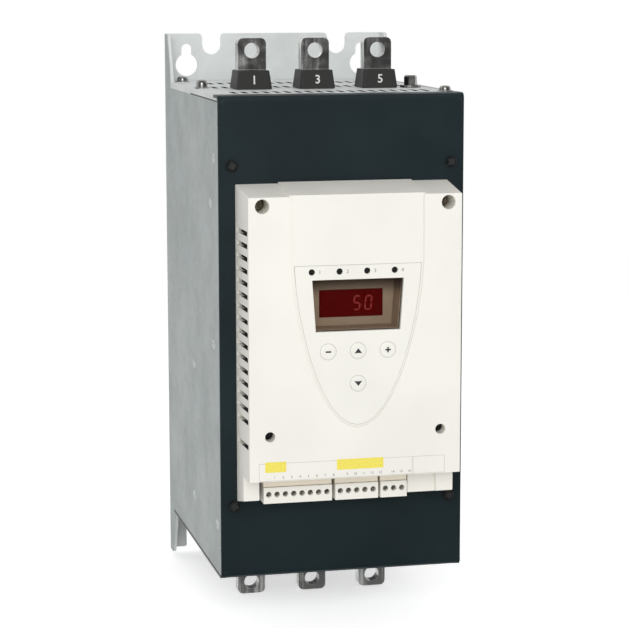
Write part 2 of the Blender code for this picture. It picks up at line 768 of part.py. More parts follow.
def plate_outline(half_width, y_front, y_back):
    """Flat pattern of a plate with a flange on each side."""
    fold_depth = PLATE_BEND + PLATE_SHEET
    side_line = half_width - fold_depth
    flange = fold_length(PLATE_BEND, PLATE_SHEET) + PLATE_FLANGE - fold_depth
    inset = 2 * fold_depth
    right = [
        (side_line - PLATE_BEND, y_front, 0),
        (side_line - PLATE_BEND, y_front + inset - PLATE_BEND, 0),
        (side_line, y_front + inset, 0),
        (side_line + flange, y_front + inset, EAR_CORNER),
        (side_line + flange, y_back - inset, EAR_CORNER),
        (side_line, y_back - inset, 0),
        (side_line - PLATE_BEND, y_back - inset + PLATE_BEND, 0),
        (side_line - PLATE_BEND, y_back, 0),
    ]
    return rounded(mirrored(right), steps=SMALL_CORNER_STEPS), side_line


def passages(depth):
    """Holes in a plate for the three bars."""
    half = BAR_WIDTH / 2 + PASSAGE_MARGIN / 2
    low = behind(depth) - PASSAGE_MARGIN
    high = behind(depth + BAR_THICKNESS) + PASSAGE_MARGIN
    return [rectangle(x - half, x + half, low, high) for x in POLES]


def vent_slots():
    """Slots in rows: one between the front cover and the bars, the others behind the bars."""
    rows = [COVER_FLANGE + VENT_COVER_ROOM + VENT_LENGTH / 2]
    rows += [VENT_FIRST_ROW + row * VENT_ROW_PITCH for row in range(VENT_ROWS)]
    slots = []
    for depth in rows:
        centre = behind(depth)
        for column in range(VENT_COLUMNS):
            x = (column - (VENT_COLUMNS - 1) / 2) * VENT_PITCH
            low = centre - VENT_LENGTH / 2
            high = centre + VENT_LENGTH / 2
            slots.append(rectangle(x - VENT_WIDTH / 2, x + VENT_WIDTH / 2, low, high))
    return slots


def make_top_plate(material):
    y_front = behind(COVER_FLANGE + GAP)
    y_back = -CHASSIS_SHEET - GAP
    outline, side_line = plate_outline(INNER_HALF - GAP, y_front, y_back)
    holes = passages(LINE_BAR_DEPTH) + vent_slots()
    holes.append(circle(EARTH_X, behind(EARTH_DEPTH), EARTH_SHANK + GAP, SCREW_HOLE_STEPS))
    mesh = bmesh.new()
    add_prism(mesh, [outline, *holes], 0.0, PLATE_SHEET)
    for side in (-1, 1):
        fold(mesh, 0, side * side_line, side, PLATE_BEND, PLATE_SHEET)
    lay_down(mesh, TOP - PLATE_SHEET, 1)
    add_object("top_plate", mesh, material)


def fan_centre(side):
    """X and Y of a fan's axis, midway along the fins."""
    fins_front = behind(HEATSINK_DEPTH)
    fins_back = -CHASSIS_SHEET
    return side * FAN_X, (fins_front + fins_back) / 2


def grille_arcs(side):
    """Air inlets punched below a fan: arcs in rings, with bridges between them."""
    x, y = fan_centre(side)
    low = FAN_HUB - GRILLE_LAP
    high = FAN_BORE - GRILLE_RIM
    middle = (low + high) / 2
    arcs = []
    for inner, outer in ((low, middle - GRILLE_RIM / 2), (middle + GRILLE_RIM / 2, high)):
        for index in range(GRILLE_ARCS):
            bearing = 360 * (index + 0.5) / GRILLE_ARCS
            start = bearing - GRILLE_ARC / 2
            end = bearing + GRILLE_ARC / 2
            outside = arc(x, y, outer, start, end, GRILLE_STEPS)
            arcs.append(outside + arc(x, y, inner, end, start, GRILLE_STEPS))
    return arcs


def make_bottom_plate(material):
    y_front = behind(COVER_FLANGE + GAP)
    y_back = -CHASSIS_SHEET - GAP
    outline, side_line = plate_outline(INNER_HALF - GAP, y_front, y_back)
    holes = passages(LOAD_BAR_DEPTH) + grille_arcs(-1) + grille_arcs(1)
    mesh = bmesh.new()
    add_prism(mesh, [outline, *holes], 0.0, PLATE_SHEET)
    for side in (-1, 1):
        fold(mesh, 0, side * side_line, side, PLATE_BEND, PLATE_SHEET)
    lay_down(mesh, BOTTOM + PLATE_SHEET, -1)
    add_object("bottom_plate", mesh, material)


def make_front_cover(material):
    """Black sheet folded back at its top and bottom edges."""
    fold_depth = COVER_BEND + COVER_SHEET
    line = BODY_HEIGHT / 2 - fold_depth
    edge = line + fold_length(COVER_BEND, COVER_SHEET) + COVER_FLANGE - fold_depth
    half = BODY_WIDTH / 2
    tab = INNER_HALF - GAP
    right = [
        (tab, -edge, EAR_CORNER),
        (tab, -line, 0),
        (half, -line, COVER_BEND / 2),
        (half, line, COVER_BEND / 2),
        (tab, line, 0),
        (tab, edge, EAR_CORNER),
    ]
    holes = []
    places = []
    for side in (-1, 1):
        places += [(side * COVER_SCREW_X, height, COVER_SCREW_HOLE) for height in COVER_SCREW_LEVELS]
        places.append((side * TOP_BORE_X, TOP_BORE_LEVEL, HOUSING_SCREW_HOLE))
        places.append((side * LOW_BORE_X, LOW_BORE_LEVEL, HOUSING_SCREW_HOLE))
    holes += [circle(x, level(height), radius, SCREW_HOLE_STEPS) for x, height, radius in places]
    holes.append(
        rounded_rectangle(
            -CABLE_WINDOW_HALF, CABLE_WINDOW_HALF,
            level(CONNECTOR_LOW - CABLE_WINDOW_MARGIN), level(CONNECTOR_HIGH + CABLE_WINDOW_MARGIN),
            EAR_CORNER,
        )
    )
    mesh = bmesh.new()
    add_prism(mesh, [rounded(mirrored(right), steps=SMALL_CORNER_STEPS), *holes], 0.0, COVER_SHEET)
    for side in (-1, 1):
        fold(mesh, 1, side * line, side, COVER_BEND, COVER_SHEET)
    stand_up(mesh, behind(COVER_SHEET), -1)
    add_object("front_cover", mesh, material)


def make_cover_screws(material):
    """Pan-head screws that hold the front cover on the chassis flanges."""
    face = -GAP
    profile = [
        (COVER_SCREW_SHANK, COVER_SCREW_LENGTH),
        (COVER_SCREW_SHANK, face),
        (COVER_SCREW_HEAD, face),
        (COVER_SCREW_HEAD, face - COVER_SCREW_HEAD_HEIGHT * COVER_SCREW_RIM),
        (COVER_SCREW_HEAD * COVER_SCREW_CROWN, face - COVER_SCREW_HEAD_HEIGHT),
    ]
    mesh = bmesh.new()
    add_turned(mesh, profile, SCREW_STEPS, plane="XZ")
    places = [
        (side * COVER_SCREW_X, behind(0.0), level(height))
        for height in reversed(COVER_SCREW_LEVELS)
        for side in (-1, 1)
    ]
    first = add_object("cover_screw_1", mesh, material, places[0])
    for number, place in enumerate(places[1:], start=2):
        place_mesh(f"cover_screw_{number}", first.data, place)


def shield_half(height, half, bottom):
    """Half width of the shield outline at a height."""
    share = (SHIELD_TOP - height) / (SHIELD_TOP - bottom)
    return half * (1 - min(share, 1.0) ** SHIELD_FALL) ** (1 / SHIELD_ROUND)


def shield_outline(margin, top):
    """The shield grown by a margin, with its straight top at the given height."""
    half = SHIELD_HALF + margin
    bottom = SHIELD_BOTTOM - margin
    right = []
    for step in range(SHIELD_STEPS + 1):
        share = math.sin(math.pi / 2 * step / SHIELD_STEPS)
        height = SHIELD_TOP - (SHIELD_TOP - bottom) * share
        right.append((shield_half(height, half, bottom), level(height)))
    right = right[:-1]
    if top > SHIELD_TOP:
        right.insert(0, (half, level(top)))
    left = [(KEYPAD_X - x, z) for x, z in right]
    right = [(KEYPAD_X + x, z) for x, z in reversed(right)]
    return left + [(KEYPAD_X, level(bottom))] + right


def window_outline(margin):
    low = WINDOW_HALF_BOTTOM + margin
    high = WINDOW_HALF_TOP + margin
    return [
        (KEYPAD_X - low, level(WINDOW_BOTTOM) - margin),
        (KEYPAD_X + low, level(WINDOW_BOTTOM) - margin),
        (KEYPAD_X + high, level(WINDOW_TOP) + margin),
        (KEYPAD_X - high, level(WINDOW_TOP) + margin),
    ]


def light_places():
    left = LIGHT_MIDDLE - (LIGHT_COUNT - 1) / 2 * LIGHT_PITCH
    return [(left + index * LIGHT_PITCH, level(LIGHT_LEVEL)) for index in range(LIGHT_COUNT)]


def key_places():
    """X and Z of each key, by name."""
    return {
        "key_left": (KEYPAD_X - KEY_PITCH, level(KEY_LEVEL)),
        "key_up": (KEYPAD_X, level(KEY_LEVEL)),
        "key_right": (KEYPAD_X + KEY_PITCH, level(KEY_LEVEL)),
        "key_down": (KEYPAD_X, level(KEY_LOW_LEVEL)),
    }


def keypad_holes():
    """Holes that the keys and lights pass through, shared by the overlay and the housing."""
    key_hole = KEY_RADIUS + KEY_CLEARANCE
    light_hole = LIGHT_RADIUS + LIGHT_CLEARANCE
    holes = [circle(x, z, key_hole, ROUND_STEPS) for x, z in key_places().values()]
    return holes + [circle(x, z, light_hole, SCREW_HOLE_STEPS) for x, z in light_places()]


def screw_posts():
    """X, height and bore radius of each housing screw post."""
    posts = []
    for side in (-1, 1):
        posts.append((side * TOP_BORE_X, TOP_BORE_LEVEL, TOP_BORE_RADIUS))
        posts.append((side * LOW_BORE_X, LOW_BORE_LEVEL, LOW_BORE_RADIUS))
    return posts


def housing_outline(half, bottom, top):
    corner = HOUSING_CORNER
    return rounded_rectangle(-half, half, level(bottom), level(top), corner, steps=SMALL_CORNER_STEPS)


def make_control_housing(material):
    """Moulded cover, open at the back, with side vents, screw posts and a terminal recess."""
    back = ahead(GAP)
    face = ahead(HOUSING_THICKNESS - PANEL_STEP)
    panel_face = ahead(HOUSING_THICKNESS)
    inside = ahead(HOUSING_THICKNESS - PANEL_STEP - HOUSING_WALL)
    front_bottom = HOUSING_BOTTOM + HOUSING_THICKNESS * FOOT_BOTTOM_SLOPE
    mesh = bmesh.new()
    add_prism(
        mesh,
        [housing_outline(HOUSING_HALF_BACK, HOUSING_BOTTOM, HOUSING_TOP_BACK)],
        back, face, "XZ",
        [housing_outline(HOUSING_HALF_FRONT, front_bottom, HOUSING_TOP_FRONT)],
    )
    housing = add_object("control_housing", mesh, material)

    panel = bmesh.new()
    foot = PANEL_MARGIN + PANEL_SLOPE
    low_top = HOUSING_TOP_FRONT + PANEL_STEP
    sections = (
        (ahead(HOUSING_WALL), shield_outline(foot, HOUSING_TOP_BACK + PANEL_STEP)),
        (face + GAP, shield_outline(foot, low_top)),
        (panel_face, shield_outline(PANEL_MARGIN, low_top)),
    )
    add_loft(panel, sections, "XZ")
    shape_with(housing, panel, "UNION", "housing_panel")

    step = bmesh.new()
    reach = HOUSING_HALF_BACK + HOUSING_WALL
    low = level(HOUSING_BOTTOM - HOUSING_WALL)
    add_box(
        step,
        (-reach, ahead(HOUSING_THICKNESS + HOUSING_WALL), low),
        (reach, ahead(FOOT_THICKNESS), level(FACE_BOTTOM)),
    )
    shape_with(housing, step, "DIFFERENCE", "housing_step")

    board_face = ahead(BOARD_SETBACK + BOARD_THICKNESS + GAP)
    floor = FACE_BOTTOM + HOUSING_WALL
    back_room = rectangle(
        -HOUSING_HALF_FRONT + HOUSING_WALL, HOUSING_HALF_FRONT - HOUSING_WALL,
        level(floor), level(HOUSING_TOP_FRONT - HOUSING_WALL),
    )
    room = bmesh.new()
    add_prism(room, [back_room], inside, ahead(-HOUSING_WALL), "XZ")
    room_tool = shape_with(housing, room, "DIFFERENCE", "housing_room")
    posts = bmesh.new()
    for x, height, radius in screw_posts():
        post = circle(x, level(height), radius + BORE_WALL, POST_STEPS)
        add_prism(posts, [post], inside - HOUSING_WALL, ahead(-2 * HOUSING_WALL), "XZ")
    shape_with(room_tool, posts, "DIFFERENCE", "housing_posts")
    pegs = bmesh.new()
    for side in (-1, 1):
        for height in BOARD_POST_LEVELS:
            peg = circle(side * BOARD_POST_X, level(height), BOARD_POST_RADIUS, SCREW_HOLE_STEPS)
            add_prism(pegs, [peg], inside - HOUSING_WALL, board_face, "XZ")
    shape_with(room_tool, pegs, "DIFFERENCE", "housing_pegs")

    recess = bmesh.new()
    add_box(
        recess,
        (RECESS_LEFT, ahead(FOOT_THICKNESS + HOUSING_WALL), low),
        (RECESS_RIGHT, ahead(-HOUSING_WALL), level(FACE_BOTTOM)),
    )
    shape_with(housing, recess, "DIFFERENCE", "housing_recess")
    throat = bmesh.new()
    add_box(
        throat,
        (RECESS_LEFT, ahead(HEADER_FRONT + GAP), level(FACE_BOTTOM - HOUSING_WALL)),
        (RECESS_RIGHT, ahead(-HOUSING_WALL), level(RECESS_TOP)),
    )
    shape_with(housing, throat, "DIFFERENCE", "housing_throat")
    niche = bmesh.new()
    add_box(
        niche,
        (RECESS_RIGHT - HOUSING_WALL, ahead(FOOT_THICKNESS + HOUSING_WALL), low),
        (NICHE_RIGHT, ahead(FOOT_THICKNESS - NICHE_DEPTH), level(FACE_BOTTOM)),
    )
    shape_with(housing, niche, "DIFFERENCE", "housing_niche")

    pocket = bmesh.new()
    pocket_floor = ahead(HOUSING_THICKNESS - OVERLAY_THICKNESS - GAP)
    add_prism(
        pocket, [shield_outline(GAP, SHIELD_TOP + GAP)],
        ahead(HOUSING_THICKNESS + HOUSING_WALL), pocket_floor, "XZ",
    )
    shape_with(housing, pocket, "DIFFERENCE", "housing_pocket")
    openings = bmesh.new()
    for hole in [window_outline(GAP), *keypad_holes()]:
        add_prism(openings, [hole], panel_face, inside + HOUSING_WALL, "XZ")
    shape_with(housing, openings, "DIFFERENCE", "housing_openings")

    bores = bmesh.new()
    for x, height, radius in screw_posts():
        profile = [
            (radius, ahead(HOUSING_THICKNESS + HOUSING_WALL)),
            (radius, ahead(BORE_FLOOR)),
            (HOUSING_SCREW_HOLE, ahead(BORE_FLOOR)),
            (HOUSING_SCREW_HOLE, ahead(-HOUSING_WALL)),
        ]
        add_turned(bores, profile, POST_STEPS, "XZ", (x, level(height)))
    shape_with(housing, bores, "DIFFERENCE", "housing_bores")

    vents = bmesh.new()
    for index in range(SIDE_VENT_COUNT):
        if index == SIDE_VENT_SKIPPED:
            continue
        centre = level(SIDE_VENT_TOP - index * SIDE_VENT_PITCH)
        for side in (-1, 1):
            near = side * (HOUSING_HALF_FRONT - 2 * HOUSING_WALL)
            far = side * (HOUSING_HALF_BACK + HOUSING_WALL)
            add_box(
                vents,
                (min(near, far), ahead(SIDE_VENT_FRONT), centre - SIDE_VENT_HEIGHT / 2),
                (max(near, far), ahead(SIDE_VENT_BACK), centre + SIDE_VENT_HEIGHT / 2),
            )
    shape_with(housing, vents, "DIFFERENCE", "housing_vents")


def make_keypad_overlay(material):
    mesh = bmesh.new()
    loops = [shield_outline(0.0, SHIELD_TOP), window_outline(GAP), *keypad_holes()]
    front = ahead(HOUSING_THICKNESS)
    add_prism(mesh, loops, front, ahead(HOUSING_THICKNESS - OVERLAY_THICKNESS), "XZ")
    add_object("keypad_overlay", mesh, material)


def make_display_window(material):
    mesh = bmesh.new()
    front = ahead(HOUSING_THICKNESS - OVERLAY_THICKNESS)
    add_prism(mesh, [window_outline(0.0)], front, front + WINDOW_THICKNESS, "XZ")
    add_object("display_window", mesh, material)


def make_display_module(material):
    mesh = bmesh.new()
    face = ahead(BOARD_SETBACK + BOARD_THICKNESS + GAP + DISPLAY_DEPTH)
    back = ahead(BOARD_SETBACK + BOARD_THICKNESS + GAP)
    left = KEYPAD_X - DISPLAY_WIDTH / 2
    low = level(DISPLAY_LEVEL) - DISPLAY_HEIGHT / 2
    outline = rectangle(left, left + DISPLAY_WIDTH, low, low + DISPLAY_HEIGHT)
    add_prism(mesh, [outline], face, back, "XZ")
    add_object("display_module", mesh, material)


def make_light_guide(material):
    """One clear moulding with a pin behind each status light hole."""
    back = ahead(BOARD_SETBACK + BOARD_THICKNESS + GAP)
    bar_face = back - GUIDE_BAR_DEPTH
    reach = (LIGHT_COUNT - 1) / 2 * LIGHT_PITCH + 2 * LIGHT_RADIUS
    centre = level(LIGHT_LEVEL)
    mesh = bmesh.new()
    bar = rounded_rectangle(
        LIGHT_MIDDLE - reach, LIGHT_MIDDLE + reach,
        centre - GUIDE_BAR_HEIGHT / 2, centre + GUIDE_BAR_HEIGHT / 2,
        LIGHT_RADIUS, steps=SMALL_CORNER_STEPS,
    )
    add_prism(mesh, [bar], bar_face, back, "XZ")
    guide = add_object("light_guide", mesh, material)
    pins = bmesh.new()
    tip = ahead(HOUSING_THICKNESS)
    profile = [
        (LIGHT_RADIUS * LIGHT_TIP, tip),
        (LIGHT_RADIUS, tip + LIGHT_RADIUS * LIGHT_TIP_FALL),
        (LIGHT_RADIUS, bar_face + GUIDE_BAR_DEPTH / 2),
    ]
    for place in light_places():
        add_turned(pins, profile, SCREW_STEPS, "XZ", place)
    shape_with(guide, pins, "UNION", "light_pins")


def make_keys(material):
    """Round keys with a retaining flange behind the housing wall and a stem to the switch."""
    wall_inside = -(HOUSING_THICKNESS - PANEL_STEP - HOUSING_WALL)
    flange_front = wall_inside + GAP
    flange_back = flange_front + KEY_FLANGE
    switch_top = -(BOARD_SETBACK + BOARD_THICKNESS + SWITCH_HEIGHT)
    stem_end = switch_top - KEY_TRAVEL - TRAVEL_MARGIN / 2
    crown = -HOUSING_THICKNESS - KEY_DOME
    profile = [
        (0.0, crown),
        (KEY_RADIUS * KEY_CROWN, crown + KEY_DOME * KEY_CROWN_FALL),
        (KEY_RADIUS, crown + KEY_DOME),
        (KEY_RADIUS, flange_front),
        (KEY_RADIUS + KEY_FLANGE, flange_front),
        (KEY_RADIUS + KEY_FLANGE, flange_back),
        (KEY_STEM_RADIUS, flange_back),
        (KEY_STEM_RADIUS, stem_end),
    ]
    mesh = bmesh.new()
    add_turned(mesh, profile, ROUND_STEPS, plane="XZ")
    data = None
    for name, (x, z) in key_places().items():
        place = (x, behind(0.0), z)
        if data is None:
            data = add_object(name, mesh, material, place).data
        else:
            place_mesh(name, data, place)


def make_control_board(material):
    """Circuit board with the key switches and the main components on its front."""
    back = ahead(BOARD_SETBACK)
    face = ahead(BOARD_SETBACK + BOARD_THICKNESS)
    neck_left = RECESS_LEFT + 2 * GAP
    neck_right = RECESS_RIGHT - 2 * GAP
    neck_top = FACE_BOTTOM + 2 * HOUSING_WALL
    outline = [
        (neck_left, level(BOARD_BOTTOM)),
        (neck_right, level(BOARD_BOTTOM)),
        (neck_right, level(neck_top)),
        (BOARD_HALF_WIDTH, level(neck_top)),
        (BOARD_HALF_WIDTH, level(BOARD_TOP)),
        (-BOARD_HALF_WIDTH, level(BOARD_TOP)),
        (-BOARD_HALF_WIDTH, level(neck_top)),
        (neck_left, level(neck_top)),
    ]
    post_room = LOW_BORE_RADIUS + BORE_WALL + 2 * GAP
    holes = [
        circle(side * LOW_BORE_X, level(LOW_BORE_LEVEL), post_room, POST_STEPS) for side in (-1, 1)
    ]
    mesh = bmesh.new()
    add_prism(mesh, [outline, *holes], face, back, "XZ")
    board = add_object("control_board", mesh, material)
    parts = bmesh.new()
    half = SWITCH_SIZE / 2
    sunk = BOARD_THICKNESS / 2
    for x, z in key_places().values():
        block = rectangle(x - half, x + half, z - half, z + half)
        add_prism(parts, [block], face - SWITCH_HEIGHT, face + sunk, "XZ")
    for x, height, width, tall, thick in BOARD_COMPONENTS:
        low = level(BOARD_BOTTOM + height)
        block = rectangle(x, x + width, low, low + tall)
        add_prism(parts, [block], face - thick, face + sunk, "XZ")
    shape_with(board, parts, "UNION", "board_components")


def plug_span(index):
    """Left and right side of a plug."""
    left = RECESS_LEFT + PLUG_OFFSETS[index]
    return left, left + PLUG_POLES[index] * POLE_PITCH + PLUG_SIDE


def make_headers(material):
    """Sockets on the board's lower edge, open downwards."""
    back = ahead(BOARD_SETBACK + BOARD_THICKNESS + GAP)
    front = ahead(HEADER_FRONT)
    for index in range(len(PLUG_POLES)):
        left, right = plug_span(index)
        mesh = bmesh.new()
        add_box(mesh, (left, front, level(PLUG_TOP + GAP)), (right, back, level(HEADER_TOP)))
        header = add_object(f"header_{index + 1}", mesh, material)
        hollow = bmesh.new()
        add_box(
            hollow,
            (left + HEADER_WALL, front + HEADER_WALL, level(PLUG_TOP - HEADER_WALL)),
            (right - HEADER_WALL, back - HEADER_WALL, level(PLUG_TOP + PLUG_TONGUE + 2 * GAP)),
        )
        shape_with(header, hollow, "DIFFERENCE", f"header_hollow_{index + 1}")


def make_plugs(material):
    """Plug-in terminal blocks with a screw hole in front and a wire entry below each pole."""
    header_back = ahead(BOARD_SETBACK + BOARD_THICKNESS + GAP)
    side_gap = HEADER_WALL + GAP
    for index, poles in enumerate(PLUG_POLES):
        left, right = plug_span(index)
        mesh = bmesh.new()
        front = ahead(PLUG_FRONT)
        add_box(
            mesh, (left, front, level(PLUG_BOTTOM)), (right, ahead(PLUG_BACK), level(PLUG_TOP))
        )
        plug = add_object(f"plug_{index + 1}", mesh, material)
        tongue = bmesh.new()
        add_box(
            tongue,
            (left + side_gap, ahead(HEADER_FRONT) + side_gap, level(PLUG_TOP - HEADER_WALL)),
            (right - side_gap, header_back - side_gap, level(PLUG_TOP + PLUG_TONGUE)),
        )
        shape_with(plug, tongue, "UNION", f"plug_tongue_{index + 1}")
        holes = bmesh.new()
        middle = level((PLUG_BOTTOM + PLUG_TOP) / 2 + HEADER_WALL / 2)
        entry_y = (ahead(PLUG_FRONT) + POLE_HOLE_DEPTH + ahead(PLUG_BACK)) / 2
        half = WIRE_ENTRY / 2
        for pole in range(poles):
            x = left + PLUG_SIDE / 2 + (pole + 0.5) * POLE_PITCH
            hole = circle(x, middle, POLE_HOLE_RADIUS, SLOT_END_STEPS)
            add_prism(holes, [hole], front - HEADER_WALL, front + POLE_HOLE_DEPTH, "XZ")
            add_box(
                holes,
                (x - half, entry_y - half, level(PLUG_BOTTOM - HEADER_WALL)),
                (x + half, entry_y + half, middle),
            )
        shape_with(plug, holes, "DIFFERENCE", f"plug_holes_{index + 1}")


def add_bar(x, depth, low, high, holes, tip_low):
    """A flat bar standing in XZ, with the two corners at its terminal end rounded.

    Beyond its shroud, the face that a cable lug rests on is coined a little deeper.
    """
    half = BAR_WIDTH / 2
    end_radius = BAR_CORNER
    low_radius = end_radius if tip_low else 0
    high_radius = 0 if tip_low else end_radius
    outline = rounded(
        [
            (x - half, low, low_radius),
            (x + half, low, low_radius),
            (x + half, high, high_radius),
            (x - half, high, high_radius),
        ]
    )
    mesh = bmesh.new()
    face = behind(depth)
    add_prism(mesh, [outline, *holes], face, face + BAR_THICKNESS, "XZ")
    side = -1 if tip_low else 1
    coin_start = TOP + GAP + SHROUD_HEIGHT + GAP
    coin_end = coin_start + COIN_DEPTH
    split_across(mesh, UP * (side * coin_start), UP)
    split_across(mesh, UP * (side * coin_end), UP)
    for vert in mesh.verts:
        if side * vert.co.z > coin_end - TOLERANCE and vert.co.y < face + TOLERANCE:
            vert.co.y += COIN_DEPTH
    return mesh


def add_contact(obj, x, height, name):
    """A raised contact pad on a bar's front face."""
    half = CONTACT_PAD / 2
    face = behind(LINE_BAR_DEPTH)
    pad = bmesh.new()
    block = rectangle(x - half, x + half, level(height) - half, level(height) + half)
    add_prism(pad, [block], face - CONTACT_PAD_HEIGHT, face + BAR_THICKNESS / 2, "XZ")
    shape_with(obj, pad, "UNION", name)


def make_line_bars(material):
    low = level(CONTACT_LEVEL) + BAR_END_GAP / 2
    high = TOP + LINE_BAR_RISE
    hole_level = TOP + LINE_HOLE_RISE
    for number, x in enumerate(POLES, start=1):
        hole = circle(x, hole_level, BAR_HOLE_RADIUS, BAR_HOLE_STEPS)
        mesh = add_bar(x, LINE_BAR_DEPTH, low, high, [hole], tip_low=False)
        bar = add_object(f"line_bar_{number}", mesh, material)
        add_contact(bar, x, CONTACT_LEVEL + CONTACT_SPREAD, f"line_contact_{number}")


def make_load_bars(material):
    """Load bars step forward above the current sensors, so that they end below the line bars."""
    low = BOTTOM - LOAD_BAR_DROP
    high = level(CONTACT_LEVEL) - BAR_END_GAP / 2
    hole_level = BOTTOM - LOAD_HOLE_DROP
    for number, x in enumerate(POLES, start=1):
        hole = circle(x, hole_level, BAR_HOLE_RADIUS, BAR_HOLE_STEPS)
        mesh = add_bar(x, LOAD_BAR_DEPTH, low, high, [hole], tip_low=True)
        for height in (JOGGLE_LOW, JOGGLE_HIGH):
            split_across(mesh, UP * level(height), UP)
        for vert in mesh.verts:
            share = (vert.co.z - level(JOGGLE_LOW)) / (JOGGLE_HIGH - JOGGLE_LOW)
            vert.co.y -= BAR_JOGGLE * min(max(share, 0.0), 1.0)
        bar = add_object(f"load_bar_{number}", mesh, material)
        add_contact(bar, x, CONTACT_LEVEL - CONTACT_SPREAD, f"load_contact_{number}")


def make_shrouds(material):
    """Tapered insulators round the bars, above the top plate and below the bottom plate."""
    half = SHROUD_WIDTH / 2
    slot_half = BAR_WIDTH / 2 + BAR_CLEARANCE
    for kind, depth, base, outwards in (
        ("line_shroud", LINE_BAR_DEPTH, TOP + GAP, 1),
        ("load_shroud", LOAD_BAR_DEPTH, BOTTOM - GAP, -1),
    ):
        low_y = behind(depth) - SHROUD_FRONT
        high_y = behind(depth + BAR_THICKNESS) + SHROUD_BACK
        slot_low = behind(depth) - BAR_CLEARANCE
        slot_high = behind(depth + BAR_THICKNESS) + BAR_CLEARANCE
        for number, x in enumerate(POLES, start=1):
            slot = rectangle(x - slot_half, x + slot_half, slot_low, slot_high)
            shapes = []
            for taper in (0.0, SHROUD_TAPER):
                outline = rounded_rectangle(
                    x - half + taper, x + half - taper, low_y + taper, high_y - taper,
                    SHROUD_CORNER, steps=SMALL_CORNER_STEPS,
                )
                shapes.append([outline, slot])
            mesh = bmesh.new()
            add_prism(mesh, shapes[0], base, base + outwards * SHROUD_HEIGHT, "XY", shapes[1])
            add_object(f"{kind}_{number}", mesh, material)


def make_heatsink(material):
    """Extruded profile: a base plate at the front and fins that reach back to the rear plate."""
    half = INNER_HALF - CHASSIS_BEND
    front = behind(HEATSINK_DEPTH)
    root = front + HEATSINK_BASE
    back = -CHASSIS_SHEET - GAP
    pitch = (2 * half - FIN_THICKNESS) / (FIN_COUNT - 1)
    outline = [(half, front), (-half, front)]
    for index in range(FIN_COUNT):
        left = -half + index * pitch
        right = left + FIN_THICKNESS
        if index > 0:
            outline.append((left, root))
        outline += [(left, back), (right, back)]
        if index < FIN_COUNT - 1:
            outline.append((right, root))
    mesh = bmesh.new()
    add_prism(mesh, [outline], level(HEATSINK_BOTTOM), TOP - HEATSINK_TOP_ROOM)
    add_object("heatsink", mesh, material)


def make_modules(material):
    """Power modules on the heatsink, each with two terminal pads that meet the bars."""
    back = behind(HEATSINK_DEPTH) - GAP
    face = back - MODULE_BODY
    pad_face = behind(LINE_BAR_DEPTH) + BAR_THICKNESS + GAP
    half = MODULE_WIDTH / 2
    pad_half = MODULE_PAD / 2
    for number, x in enumerate(POLES, start=1):
        low = level(MODULE_BOTTOM)
        high = level(MODULE_TOP)
        mesh = bmesh.new()
        profile = [
            (back, low),
            (back, high),
            (back - MODULE_EAR_THICKNESS, high),
            (back - MODULE_EAR_THICKNESS, high - MODULE_EAR),
            (face, high - MODULE_EAR),
            (face, low + MODULE_EAR),
            (back - MODULE_EAR_THICKNESS, low + MODULE_EAR),
            (back - MODULE_EAR_THICKNESS, low),
        ]
        add_prism(mesh, [profile], x - half, x + half, "YZ")
        module = add_object(f"thyristor_module_{number}", mesh, material)
        pads = bmesh.new()
        for centre in (low + MODULE_PAD_INSET, high - MODULE_PAD_INSET):
            block = rectangle(x - pad_half, x + pad_half, centre - pad_half, centre + pad_half)
            add_prism(pads, [block], pad_face, face + MODULE_EAR, "XZ")
        shape_with(module, pads, "UNION", f"module_pads_{number}")


def make_sensors(material):
    """Current sensors, each a block with the load bar through its window."""
    half = SENSOR_WIDTH / 2
    slot_half = BAR_WIDTH / 2 + BAR_CLEARANCE
    slot_low = behind(LOAD_BAR_DEPTH) - BAR_CLEARANCE
    slot_high = behind(LOAD_BAR_DEPTH + BAR_THICKNESS) + BAR_CLEARANCE
    middle = (slot_low + slot_high) / 2
    for number, x in enumerate(POLES, start=1):
        outline = rounded_rectangle(
            x - half, x + half, middle - SENSOR_DEPTH / 2, middle + SENSOR_DEPTH / 2,
            EAR_CORNER, steps=SMALL_CORNER_STEPS,
        )
        slot = rectangle(x - slot_half, x + slot_half, slot_low, slot_high)
        mesh = bmesh.new()
        add_prism(mesh, [outline, slot], level(SENSOR_BOTTOM), level(SENSOR_TOP))
        add_object(f"current_sensor_{number}", mesh, material)


def make_power_board(material):
    """Firing board on the rear of the chassis flanges, its components facing back."""
    face = behind(COVER_SHEET + GAP + CHASSIS_SHEET + GAP)
    back = face + BOARD_THICKNESS
    outline = rectangle(
        -POWER_BOARD_HALF, POWER_BOARD_HALF, level(POWER_BOARD_BOTTOM), level(POWER_BOARD_TOP)
    )
    mesh = bmesh.new()
    add_prism(mesh, [outline], face, back, "XZ")
    board = add_object("power_board", mesh, material)
    parts = bmesh.new()
    low = level(POWER_BOARD_BOTTOM + POWER_COMPONENT_EDGE)
    high = level(POWER_BOARD_TOP - POWER_COMPONENT_EDGE)
    blocks = [(x, x + width, low, low + tall, thick) for x, width, tall, thick in LOW_COMPONENTS]
    blocks += [(x, x + width, high - tall, high, thick) for x, width, tall, thick in HIGH_COMPONENTS]
    for *sides, thick in blocks:
        block = rectangle(*sides)
        add_prism(parts, [block], back - BOARD_THICKNESS / 2, back + thick, "XZ")
    shape_with(board, parts, "UNION", "power_components")


def make_board_connector(material):
    """Block connector through the cover's cable window, between the two boards."""
    front = ahead(BOARD_SETBACK - GAP)
    back = behind(COVER_SHEET + GAP + CHASSIS_SHEET)
    mesh = bmesh.new()
    low = (-CONNECTOR_HALF, front, level(CONNECTOR_LOW))
    high = (CONNECTOR_HALF, back, level(CONNECTOR_HIGH))
    add_box(mesh, low, high)
    add_object("board_connector", mesh, material)


